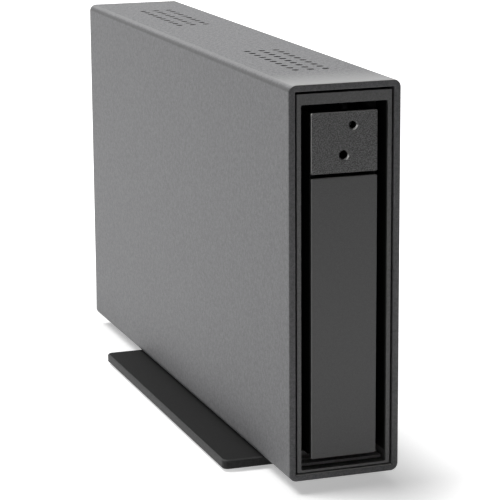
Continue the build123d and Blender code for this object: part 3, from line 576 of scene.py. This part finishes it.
brushed_table = {
    "cage_steel": dict(grey=0.33, rough=0.35, along=1),
    "tray_aluminium": dict(grey=0.38, rough=0.35, along=1),
    "drive_lid_steel": dict(grey=0.38, rough=0.34, along=2),
    "zinc_steel": dict(grey=0.45, rough=0.25, along=0, tint=(1.0, 0.99, 0.95)),
    "black_steel": dict(grey=0.05, rough=0.35, along=0),
    "spring_steel": dict(grey=0.45, rough=0.2, along=0),
    "port_shell": dict(grey=0.35, rough=0.3, along=1, shade=port_tongue),
    "contact_gold": dict(grey=0.7, rough=0.2, along=1, tint=(1.0, 0.72, 0.32)),
}
for name, settings in brushed_table.items():
    finishes[name] = brushed(name, **settings)
print("brushed finishes:", ", ".join(brushed_table))

# %% [markdown]
# ### Circuit board
# A green solder mask lies over the copper. The borders between the cells of a Voronoi pattern make
# the tracks: a net of fine ridges, a little lighter than the ground.

# %% Circuit board finish
track_cell = 4.0 * mm


def circuit_board(name):
    """Green solder mask over a net of fine raised tracks."""
    material, shader, place = new_finish(name)
    cells = {"voronoi_dimensions": "3D", "feature": "DISTANCE_TO_EDGE", "distance": "EUCLIDEAN"}
    border = place.node("ShaderNodeTexVoronoi", cells, {"Vector": place, "Scale": 1 / track_cell})
    track = 1.0 - border.step(0.02, 0.05)
    grain = noise(place, 0.4 * mm)
    ground = blend_tones(place, grain, (0.006, 0.06, 0.025, 1.0), (0.01, 0.085, 0.035, 1.0))
    wire(
        place,
        shader,
        Base_Color=blend_tones(place, track, ground, (0.02, 0.14, 0.05, 1.0)),
        Roughness=0.32 + (grain - 0.5) * 0.1,
        Normal=bump(place, track, 0.03 * mm),
    )
    return material


finishes["circuit_board"] = circuit_board("circuit_board")
print("circuit board: tracks round cells of", round(track_cell / mm, 1), "mm")

# %% [markdown]
# ### Light pipe
# The light pipe is smoky acrylic. Its end was ground, so it scatters what little light reaches it
# and shows as a grey disc deep in its hole. The rest of the pipe stays nearly as dark as the moat.

# %% Light pipe finish
def frosted(name):
    """Smoky acrylic, pale where it was ground: at its lower end, behind the plate's hole."""
    material, shader, place = new_finish(name)
    grain = noise(place, 0.2 * mm)
    end_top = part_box("light_pipe")[0].z + 2.0 * mm
    above = axis_of(place, 2).step(end_top + 0.3 * mm, end_top + 0.8 * mm)
    ground = blend_tones(place, grain, tone(0.55), tone(0.7))
    smoky = blend_tones(place, grain, tone(0.04), tone(0.06))
    shader.inputs["Transmission Weight"].default_value = 0.2
    shader.inputs["IOR"].default_value = 1.49
    wire(
        place,
        shader,
        Base_Color=blend_tones(place, above, ground, smoky),
        Roughness=0.35 + (grain - 0.5) * 0.2,
        Normal=bump(place, grain, 0.01 * mm),
    )
    return material


finishes["clear_acrylic"] = frosted("clear_acrylic")
for name, node in nodes.items():
    node.data.materials.clear()
    node.data.materials.append(finishes[slots[name]])
print("finishes:", len(finishes), "nodes painted:", len(nodes))


# %% [markdown]
# ## Growing a shape from a tree
# A shape that follows a rule is grown by Geometry Nodes. The tree has named inputs, so that it can
# be read and reused. It runs on an empty mesh, and its result is kept as a plain mesh, merged at
# its seams and shaded smooth between its sharp edges.

# %% Helpers for grown shapes
def new_tree(name, numbers):
    """A Geometry Nodes tree with those named inputs; returns it and a field for each input."""
    tree = bpy.data.node_groups.new(name, "GeometryNodeTree")
    tree.interface.new_socket("Geometry", in_out="OUTPUT", socket_type="NodeSocketGeometry")
    for label, value in numbers.items():
        kind = "NodeSocketInt" if isinstance(value, int) else "NodeSocketFloat"
        socket = tree.interface.new_socket(label, in_out="INPUT", socket_type=kind)
        socket.default_value = value
    tree.interface.new_socket("Finish", in_out="INPUT", socket_type="NodeSocketMaterial")
    start = tree.nodes.new("NodeGroupInput")
    fields = {socket.name: Field(tree, socket) for socket in start.outputs if socket.name}
    return tree, fields


def close_tree(tree, geometry, finish):
    """End a tree: instances become real, the finish is set, and the result goes out."""
    real = geometry.node("GeometryNodeRealizeInstances", {}, {0: geometry})
    painted = real.node("GeometryNodeSetMaterial", {}, {"Geometry": real, "Material": finish})
    end = tree.nodes.new("NodeGroupOutput")
    tree.links.new(painted.socket, end.inputs[0])


def plain_object(name, mesh):
    """An object at the origin that holds a finished mesh."""
    piece = bpy.data.objects.new(name, mesh)
    bpy.context.scene.collection.objects.link(piece)
    return piece


def evaluated(piece, name):
    """A new mesh with the piece's modifiers in it; the modifiers come off."""
    bpy.context.view_layer.update()
    depsgraph = bpy.context.evaluated_depsgraph_get()
    mesh = bpy.data.meshes.new_from_object(piece.evaluated_get(depsgraph))
    mesh.name = name
    piece.modifiers.clear()
    return mesh


def grow(name, tree, values, finish):
    """Run a tree with those input values and keep what it makes as a plain object."""
    seed = plain_object(name + "_seed", bpy.data.meshes.new(name + "_seed"))
    modifier = seed.modifiers.new("grow", "NODES")
    modifier.node_group = tree
    for item in tree.interface.items_tree:
        if item.in_out == "INPUT":
            modifier[item.identifier] = finish if item.name == "Finish" else values[item.name]
    seed.update_tag()
    mesh = evaluated(seed, name)
    bpy.data.objects.remove(seed)
    return plain_object(name, mesh)


def smooth(piece, angle=35.0):
    """Smooth shading: edges sharper than the angle stay crisp, and flat faces stay flat."""
    piece.data.shade_smooth()
    piece.data.set_sharp_from_angle(angle=radians(angle))
    even = piece.modifiers.new("even", "WEIGHTED_NORMAL")
    even.keep_sharp = True
    piece.data = evaluated(piece, piece.name)


def tidy(mesh, nearness=0.001 * mm):
    """Merge vertices that are nearer than that and turn all faces outwards."""
    work = bmesh.new()
    work.from_mesh(mesh)
    bmesh.ops.remove_doubles(work, verts=work.verts, dist=nearness)
    bmesh.ops.recalc_face_normals(work, faces=work.faces)
    work.to_mesh(mesh)
    work.free()


# %% [markdown]
# The trees below share a few steps: a rounded rectangle as a section, a section swept along a
# path, a shape moved to its place, and a shape copied onto points. Each is one short function.

# %% Steps that the trees share
def xyz(field, x=0.0, y=0.0, z=0.0):
    """A vector put together from fields or numbers."""
    return field.node("ShaderNodeCombineXYZ", {}, {"X": x, "Y": y, "Z": z})


def rounded_rectangle(width, height, radius, steps):
    """A closed rectangle curve whose corners are filleted in so many steps."""
    size = {"Width": width, "Height": height}
    sharp = width.node("GeometryNodeCurvePrimitiveQuadrilateral", {}, size)
    fillet = {"Curve": sharp, "Radius": radius, "Count": steps}
    return sharp.node("GeometryNodeFilletCurve", {"mode": "POLY"}, fillet)


def levelled(path):
    """The path, with every section along it kept upright."""
    return path.node("GeometryNodeSetCurveNormal", {"mode": "Z_UP"}, {"Curve": path})


def swept(path, section, caps=True):
    """The section swept along the path."""
    sweep = {"Curve": path, "Profile Curve": section, "Fill Caps": caps}
    return path.node("GeometryNodeCurveToMesh", {}, sweep)


def moved(shape, offset, turned=(0.0, 0.0, 0.0)):
    """The shape turned by those angles, then moved."""
    values = {"Geometry": shape, "Rotation": turned, "Translation": offset}
    return shape.node("GeometryNodeTransform", {}, values)


def copied(shape, points, **more):
    """The shape copied onto each of the points."""
    values = {"Points": points, "Instance": shape, **more}
    many = points.node("GeometryNodeInstanceOnPoints", {}, values)
    return many.node("GeometryNodeRealizeInstances", {}, {0: many})


def points_on_line(count, first, step):
    """Points that start at one vector and go on by another."""
    line = {"mode": "OFFSET", "count_mode": "TOTAL"}
    values = {"Count": count, "Start Location": first, "Offset": step}
    return first.node("GeometryNodeMeshLine", line, values)


# %% [markdown]
# ## The housing
# The real housing is an extrusion: one profile, pushed through a die and cut to length. The same
# rule grows it here. A rounded rectangle is the path, the section of the wall is swept along it,
# and two fields of round holes are cut from its roof. A box with bevels would have been quicker,
# but its corners and its wall couldn't be set apart.

# %% Grow the housing
shell_low, shell_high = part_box("housing_shell")
shell_size = shell_high - shell_low
housing_inputs = {
    "Width": shell_size.x,
    "Height": shell_size.z,
    "Length": shell_size.y,
    "Middle height": (shell_low.z + shell_high.z) / 2,
    "Wall": 2.05 * mm,
    "Corner": 2.3 * mm,
    "Corner steps": 9,
    "Edge": 0.35 * mm,
    "Edge steps": 3,
    "Hole radius": 1.12 * mm,
    "Hole edge": 0.04 * mm,
    "Pitch": 4.75 * mm,
    "Rows": 3,
    "Columns": 10,
    "Front field": 27.75 * mm,
    "Rear field": 140.45 * mm,
}


def swept_wall(given):
    """The wall's section swept round the rounded rectangle, then turned to lie along Y."""
    outline = [given[name] for name in ("Width", "Height", "Corner", "Corner steps")]
    path = rounded_rectangle(*outline)
    section = rounded_rectangle(given["Wall"], given["Length"], given["Edge"], given["Edge steps"])
    inwards = moved(section, xyz(section, x=given["Wall"] * -0.5))
    tube = swept(levelled(path), inwards, caps=False)
    return moved(tube, xyz(tube, z=given["Middle height"]), turned=(pi / 2, 0.0, 0.0))


def hole_cutters(given, start, top):
    """Drills and shallow sinks for one field of holes, which starts that far behind the front."""
    pitch, columns = given["Pitch"], given["Columns"]
    grid = pitch.node(
        "GeometryNodeMeshGrid",
        {},
        {
            "Size X": pitch * (given["Rows"] - 1.0),
            "Size Y": pitch * (columns - 1.0),
            "Vertices X": given["Rows"],
            "Vertices Y": columns,
        },
    )
    middle = start + pitch * (columns - 1.0) * 0.5 - given["Length"] * 0.5
    around = 32
    placed = moved(grid, xyz(grid, y=middle, z=top))
    drill = grid.node(
        "GeometryNodeMeshCylinder",
        {},
        {"Vertices": around, "Radius": given["Hole radius"], "Depth": given["Wall"] * 3.0},
    )
    # The sink's cone is at 45 degrees: it opens the hole by one edge width at the roof, and runs on
    # for two of them above and below.
    sink = grid.node(
        "GeometryNodeMeshCone",
        {},
        {
            "Vertices": around,
            "Radius Bottom": given["Hole radius"] - given["Hole edge"],
            "Radius Top": given["Hole radius"] + given["Hole edge"] * 3.0,
            "Depth": given["Hole edge"] * 4.0,
        },
    )
    lowered = moved(sink, xyz(sink, z=given["Hole edge"] * -2.0))
    return [copied(tool, placed) for tool in (drill, lowered)]


def housing_tree():
    """Tree of the swept housing with its two fields of holes."""
    tree, given = new_tree("housing", housing_inputs)
    body = swept_wall(given)
    top = given["Middle height"] + given["Height"] * 0.5
    for start in (given["Front field"], given["Rear field"]):
        for tool in hole_cutters(given, start, top):
            body = body.node(
                "GeometryNodeMeshBoolean",
                {"operation": "DIFFERENCE", "solver": "EXACT"},
                {"Mesh 1": body, "Mesh 2": tool},
            )
    close_tree(tree, body, given["Finish"])
    return tree


housing = grow("housing", housing_tree(), housing_inputs, finishes["body_aluminium"])
tidy(housing.data)
smooth(housing)
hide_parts("housing_shell")
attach(housing, "enclosure")
housing_high = Vector(housing.bound_box[6])
print("housing faces:", len(housing.data.polygons))
print("its high corner in mm:", [round(v / mm, 2) for v in housing_high])
print("that of the construction piece:", [round(v / mm, 2) for v in shell_high])

# %% [markdown]
# ## Edges that catch the light
# A machined edge is never quite sharp. The construction pieces carry their own chamfers, but most
# of their edges are knife edges, which look cut from paper. A copy of each visible piece gets its
# triangles merged into flat faces, and a bevel of a tenth or two of a millimetre on what is left.
# The two holes of the latch plate also get wide rims, sunk by a cone. At the lower right they
# face the upper left, and a painted highlight makes them bright and metallic there.

# %% Dress the visible construction pieces
weld = 0.002 * mm  # how near two corners of triangles are when they are one point
flat_enough = radians(0.4)  # between two triangles of one face


def sink_cutter(middle, radius, depth):
    """A cone along Y that opens a hole's rim by that depth, at 45 degrees."""
    work = bmesh.new()
    out = 0.05 * mm  # how far the cone stands out of the plate
    turned = Matrix.Translation(middle) @ Matrix.Rotation(pi / 2, 4, "X")
    bmesh.ops.create_cone(
        work,
        cap_ends=True,
        segments=48,
        radius1=radius,
        radius2=radius + depth + out,
        depth=depth + out,
        matrix=turned @ Matrix.Translation((0, 0, (out - depth) / 2)),
    )
    mesh = bpy.data.meshes.new("sink")
    work.to_mesh(mesh)
    work.free()
    return plain_object("sink", mesh)


def dress(name, edge, angle=38.0, steps=2, sinks=()):
    """Replace a piece by a copy with small rounded edges and cone-shaped rims at the sinks."""
    node = nodes[name]
    mesh = node.data.copy()
    work = bmesh.new()
    work.from_mesh(mesh)
    bmesh.ops.remove_doubles(work, verts=work.verts, dist=weld)
    bmesh.ops.recalc_face_normals(work, faces=work.faces)
    bmesh.ops.dissolve_limit(
        work, angle_limit=flat_enough, verts=work.verts, edges=work.edges, delimit=set()
    )
    work.to_mesh(mesh)
    work.free()
    rough = plain_object(name + "_rough", mesh)
    rounding = rough.modifiers.new("edge", "BEVEL")
    rounding.width = edge
    rounding.segments = steps
    rounding.limit_method = "ANGLE"
    rounding.angle_limit = radians(angle)
    rounding.use_clamp_overlap = True
    cutters = [sink_cutter(*sink) for sink in sinks]
    for cutter in cutters:
        cut = rough.modifiers.new("sink", "BOOLEAN")
        cut.object = cutter
        cut.solver = "EXACT"
    made = evaluated(rough, name + "_dressed")
    for used in (rough, *cutters):
        bpy.data.objects.remove(used)
    made.materials.clear()
    made.materials.append(finishes[slots[name]])
    piece = plain_object(name + "_dressed", made)
    smooth(piece)
    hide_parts(name)
    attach(piece, node["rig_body"])
    return piece


edge_sizes = {
    "front_bezel": 0.12 * mm,
    "lever_cover": 0.15 * mm,
    "latch_plate": 0.12 * mm,
    "carrier_nose": 0.1 * mm,
    "rear_panel": 0.12 * mm,
    "power_rocker": 0.15 * mm,
    "lever_arm": 0.08 * mm,
}
plate_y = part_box("latch_plate")[0].y
pipe_low, pipe_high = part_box("light_pipe")
lock_x, _, lock_z = joints["lock_turn"]["pos_m"]
pipe_radius = 1.0 * mm
pipe_middle = Vector(((pipe_low.x + pipe_high.x) / 2, plate_y, pipe_low.z + pipe_radius))
lock_middle = Vector((lock_x, plate_y, lock_z))
pipe_hole, lock_hole = 1.1 * mm, 1.3 * mm
sinks = {
    "latch_plate": [(pipe_middle, pipe_hole, sink_depth), (lock_middle, lock_hole, sink_depth)]
}
for name, edge in edge_sizes.items():
    piece = dress(name, edge, sinks=sinks.get(name, ()))
    print(name, "dressed:", len(nodes[name].data.polygons), "->", len(piece.data.polygons), "faces")

# %% [markdown]
# ## Pins
# A chip's pins are one bent strip of tin, repeated at a fixed pitch, and the same row again on each
# side. The tree says just that: a strip bent from the chip's side down to the board, copies along a
# line, and copies of the row turned round the chip.

# %% Grow the pins of the chips
pin_inputs = {
    "Chip": 7.0 * mm,
    "Count": 9,
    "Sides": 4,
    "Pitch": 0.65 * mm,
    "Width": 0.32 * mm,
    "Thickness": 0.16 * mm,
    "Shoulder": 0.6 * mm,
    "Reach": 0.95 * mm,
    "Board X": 0.0,
    "Middle Y": 0.0,
    "Middle Z": 0.0,
}


def pin_tree():
    """Tree of bent pins on the sides of a chip that lies on a board facing +X."""
    tree, given = new_tree("pins", pin_inputs)
    side = given["Chip"] * 0.5
    bend = side + given["Reach"] * 0.45
    root = side - 0.1 * mm  # a little inside the chip
    strip = side.node(
        "GeometryNodeCurvePrimitiveBezierSegment",
        {"mode": "POSITION"},
        {
            "Resolution": 6,
            "Start": xyz(side, x=root, z=given["Shoulder"]),
            "Start Handle": xyz(side, x=bend, z=given["Shoulder"]),
            "End Handle": xyz(side, x=bend, z=given["Thickness"] * 0.5),
            "End": xyz(side, x=side + given["Reach"], z=given["Thickness"] * 0.5),
        },
    )
    section = rounded_rectangle(given["Width"], given["Thickness"], given["Thickness"] * 0.2, 1)
    pin = swept(levelled(strip), section)
    first = xyz(side, y=given["Pitch"] * (given["Count"] - 1.0) * -0.5)
    row = points_on_line(given["Count"], first, xyz(side, y=given["Pitch"]))
    pins = copied(pin, row)
    turns = points_on_line(given["Sides"], xyz(side), xyz(side))
    turn = side.node("GeometryNodeInputIndex") * (2 * pi) / given["Sides"]
    all_sides = copied(pins, turns, Rotation=xyz(side, z=turn))
    place = xyz(side, given["Board X"], given["Middle Y"], given["Middle Z"])
    upright = (0.0, pi / 2, 0.0)
    close_tree(tree, moved(all_sides, place, turned=upright), given["Finish"])
    return tree


def loose_boxes(name):
    """Low and high corners of each loose part of a construction piece."""
    work = bmesh.new()
    work.from_mesh(nodes[name].data)
    bmesh.ops.remove_doubles(work, verts=work.verts, dist=weld)
    waiting, boxes = set(work.verts), []
    while waiting:
        front, part = [waiting.pop()], []
        while front:
            spot = front.pop()
            part.append(spot.co.copy())
            for line in spot.link_edges:
                other = line.other_vert(spot)
                if other in waiting:
                    waiting.remove(other)
                    front.append(other)
        low, high = (
            Vector(pick(place[axis] for place in part) for axis in range(3)) for pick in (min, max)
        )
        boxes.append((low, high))
    work.free()
    return boxes


def settle(piece, name):
    """Let a small extra piece ride with the construction piece that carries it."""
    tidy(piece.data)
    smooth(piece)
    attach(piece, nodes[name]["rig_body"])


thickest, smallest = 1.5 * mm, 5.5 * mm  # of a flat chip that has pins on its four sides
bare_ends = 1.2 * mm  # of a side, left without pins
pins_made = 0
chip_tree = pin_tree()
for name in ("drive_chips", "bridge_chips"):
    for low, high in loose_boxes(name):
        size = high - low
        if size.x > thickest or size.y < smallest:
            continue
        values = {
            **pin_inputs,
            "Chip": size.y,
            "Count": int((size.y - bare_ends) / pin_inputs["Pitch"]),
            "Board X": low.x,
            "Middle Y": (low.y + high.y) / 2,
            "Middle Z": (low.z + high.z) / 2,
        }
        pins_made += 1
        piece = grow("pins_" + str(pins_made), chip_tree, values, finishes["zinc_steel"])
        settle(piece, name)
        print(piece.name, "on", name, "has", values["Count"], "pins a side")

# %% [markdown]
# ## Contacts
# Contacts of a plug are straight gilt strips on its tongue. Both kinds of tongue here take the same
# tree: a strip along Y, copies along Z, and the whole row once or twice, on one face or on both.

# %% Grow the contacts
contact_inputs = {
    "Count": 4,
    "Pitch": 1.27 * mm,
    "Width": 0.7 * mm,
    "Thickness": 0.16 * mm,
    "Length": 4.0 * mm,
    "Faces": 1,
    "Face gap": 1.0 * mm,
    "First face X": 0.0,
    "Start Y": 0.0,
    "First Z": 0.0,
}


def contact_tree():
    """Tree of straight contacts on one or two faces of a tongue."""
    tree, given = new_tree("contacts", contact_inputs)
    length = given["Length"]
    run = {"Start": (0.0, 0.0, 0.0), "End": xyz(length, y=length)}
    line = length.node("GeometryNodeCurvePrimitiveLine", {}, run)
    section = rounded_rectangle(given["Thickness"], given["Width"], given["Thickness"] * 0.3, 2)
    strip = swept(levelled(line), section)
    first = xyz(length, given["First face X"], given["Start Y"], given["First Z"])
    row = points_on_line(given["Count"], first, xyz(length, z=given["Pitch"]))
    faces = points_on_line(given["Faces"], xyz(length), xyz(length, x=given["Face gap"]))
    close_tree(tree, copied(copied(strip, row), faces), given["Finish"])
    return tree


port_low, port_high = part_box("usb_port")
plug_low, plug_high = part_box("drive_sata_plug")
port_pitch = 2.5 * mm
port_row = {
    "Count": 2,
    "Pitch": port_pitch,
    "Width": 1.0 * mm,
    "Length": 7.0 * mm,
    "Faces": 2,
    "Face gap": 3.1 * mm,
    "First face X": port_low.x + 2.65 * mm,  # the near face of the tongue
    "Start Y": port_high.y - 8.6 * mm,
    "First Z": (port_low.z + port_high.z) / 2 - port_pitch / 2,
}
power_row = {
    "Count": 15,
    "First face X": (plug_low.x + plug_high.x) / 2 - 0.6 * mm,
    "Start Y": plug_high.y - 5.2 * mm,
    "First Z": plug_low.z + 4.0 * mm,
}
data_row = {**power_row, "Count": 7, "First Z": plug_high.z - 13.8 * mm}  # the short upper side
contact_rows = {
    "port_contacts": ("usb_port", port_row),
    "plug_power_contacts": ("drive_sata_plug", power_row),
    "plug_data_contacts": ("drive_sata_plug", data_row),
}
strip_tree = contact_tree()
for name, (carrier, changes) in contact_rows.items():
    piece = grow(name, strip_tree, {**contact_inputs, **changes}, finishes["contact_gold"])
    settle(piece, carrier)
    print(name, "faces:", len(piece.data.polygons))

# %% [markdown]
# ## The latch's spring
# A coil is a spiral of constant radius with a round wire swept along it. It takes the place of
# the construction spring and rides with the body that carries it.

# %% Grow the spring
spring_low, spring_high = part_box("latch_spring")
wire_thickness = 0.4 * mm
spring_inputs = {
    "Coil radius": (spring_high.x - spring_low.x - wire_thickness) / 2,
    "Wire radius": wire_thickness / 2,
    "Turns": 4.0,
    "Height": spring_high.z - spring_low.z - wire_thickness,
    "Middle X": (spring_low.x + spring_high.x) / 2,
    "Middle Y": (spring_low.y + spring_high.y) / 2,
    "Foot Z": spring_low.z + wire_thickness / 2,
}


def spring_tree():
    """Tree of a coil spring that stands on its foot."""
    tree, given = new_tree("spring", spring_inputs)
    radius = given["Coil radius"]
    winding = {
        "Resolution": 24,
        "Rotations": given["Turns"],
        "Start Radius": radius,
        "End Radius": radius,
        "Height": given["Height"],
    }
    coil = radius.node("GeometryNodeCurveSpiral", {}, winding)
    wire_round = {"Resolution": 12, "Radius": given["Wire radius"]}
    section = radius.node("GeometryNodeCurvePrimitiveCircle", {}, wire_round)
    foot = xyz(radius, given["Middle X"], given["Middle Y"], given["Foot Z"])
    close_tree(tree, moved(swept(coil, section), foot), given["Finish"])
    return tree


spring = grow("spring", spring_tree(), spring_inputs, finishes["spring_steel"])
settle(spring, "latch_spring")
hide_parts("latch_spring")
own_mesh(spring)

# %% [markdown]
# ## The studio
# The object stands on a white floor that runs out of sight. A key light hangs high at its left, a
# little behind it, and a weak light above fills the roof. Nothing lights the front, which is why it
# is so much darker than the side: a dark flag in front keeps the room's brightness off it. The
# camera doesn't see the flag, and it throws no shadow.
# A white room would also light the object from all sides. So the floor and the room are white only
# for the rays that show a background, and darker for those that carry light to the object.

# %% Floor, lights and world
studio = bpy.context.scene


def plane(name, width, depth, place, facing=(0.0, 0.0, 0.0)):
    """A flat rectangle with that width and depth, turned by those angles."""
    corners = [(x * width / 2, y * depth / 2, 0) for x, y in ((-1, -1), (1, -1), (1, 1), (-1, 1))]
    mesh = bpy.data.meshes.new(name)
    mesh.from_pydata(corners, [], [(0, 1, 2, 3)])
    flat = plain_object(name, mesh)
    flat.location = place
    flat.rotation_euler = facing
    return flat


def shown_rays(field):
    """1 for rays that show a background: from the camera, off a mirror or through glass."""
    rays = ["Is Camera Ray", "Is Glossy Ray", "Is Transmission Ray"]
    path = field.tree.nodes.new("ShaderNodeLightPath")
    camera_ray, glossy_ray, clear_ray = (Field(field.tree, path.outputs[ray]) for ray in rays)
    return camera_ray.math("MAXIMUM", glossy_ray).math("MAXIMUM", clear_ray)


def white_floor(name, bounce, plain, lift_near, lift_far):
    """Matt floor, clear from beneath: bounce is the grey that lights the object.

    A background ray sees plain instead, lifted by a glow that is weak near the object, where the
    shadow lies, and full further off.
    """
    material, shader, place = new_finish(name)
    cloud = noise(place, 0.4)
    shader.inputs["Roughness"].default_value = 0.9
    shader.inputs["Specular IOR Level"].default_value = 0.0
    shader.inputs["Emission Strength"].default_value = 1.0
    seen = shown_rays(place)
    across, along = axis_of(place, 0), axis_of(place, 1)
    beyond = (along.math("ABSOLUTE") - rear_y).math("MAXIMUM", 0.0)
    sideways = 2.5  # how much sooner the shadow ends beside the object than before it
    distance = (across * across * sideways + beyond * beyond).math("SQRT")
    lift = distance.step(20.0 * mm, 80.0 * mm) * (lift_far - lift_near) + lift_near
    shown = blend_tones(place, cloud, tone(plain * 0.99), tone(plain))
    wire(
        place,
        shader,
        Base_Color=blend_tones(place, seen, tone(bounce), shown),
        Emission_Color=blend_tones(place, seen * lift, tone(0.0), tone(1.0)),
    )
    under = place.node("ShaderNodeNewGeometry", output=6)
    solid = Field(material.node_tree, shader.outputs[0])
    clear = place.node("ShaderNodeBsdfTransparent")
    sheet = place.node("ShaderNodeMixShader", {}, {0: under, 1: solid, 2: clear})
    end = material.node_tree.get_output_node("ALL")
    material.node_tree.links.new(sheet.socket, end.inputs["Surface"])
    return material


floor = plane("floor", 16.0, 16.0, (0, 0, -0.05 * mm))
floor.data.materials.append(
    white_floor("white_floor", bounce=0.3, plain=0.9, lift_near=0.42, lift_far=1.0)
)

upright = (pi / 2, 0.0, 0.0)
flag = plane("dark_flag", 3.0, 1.6, place=(0.0, -0.95, 0.81), facing=upright)
flag_material, flag_shader, flag_place = new_finish("dark_cloth")
flag_shader.inputs["Roughness"].default_value = 1.0
flag_shader.inputs["Specular IOR Level"].default_value = 0.0
cloth = noise(flag_place, 0.01)
wire(flag_place, flag_shader, Base_Color=blend_tones(flag_place, cloth, tone(0.01), tone(0.02)))
flag.data.materials.append(flag_material)
flag.visible_camera = False
flag.visible_shadow = False
flag.visible_transmission = False


def soft_light(name, size, power, place, target=(0.0, 0.0, 0.06)):
    """A square area light of that size and power, aimed at the target."""
    light = bpy.data.lights.new(name, "AREA")
    light.shape = "SQUARE"
    light.size = size
    light.energy = power
    lamp = bpy.data.objects.new(name, light)
    lamp.location = place
    aim = Vector(target) - Vector(place)
    lamp.rotation_euler = aim.to_track_quat("-Z", "Y").to_euler()
    studio.collection.objects.link(lamp)


soft_light("key_light", size=0.9, power=33.0, place=(-1.05, 0.35, 2.05))
soft_light("top_light", size=1.0, power=3.0, place=(0.0, 0.5, 1.4))

world = bpy.data.worlds.new("white_room")
studio.world = world
world.use_nodes = True
world.node_tree.nodes.clear()
room = Field(world.node_tree)
room_light = 0.1
strength = shown_rays(room) * (1.0 - room_light) + room_light
sky = room.node("ShaderNodeBackground", {}, {"Color": tone(1.0), "Strength": strength})
end = world.node_tree.nodes.new("ShaderNodeOutputWorld")
world.node_tree.links.new(sky.socket, end.inputs["Surface"])
studio.view_settings.view_transform = "Standard"
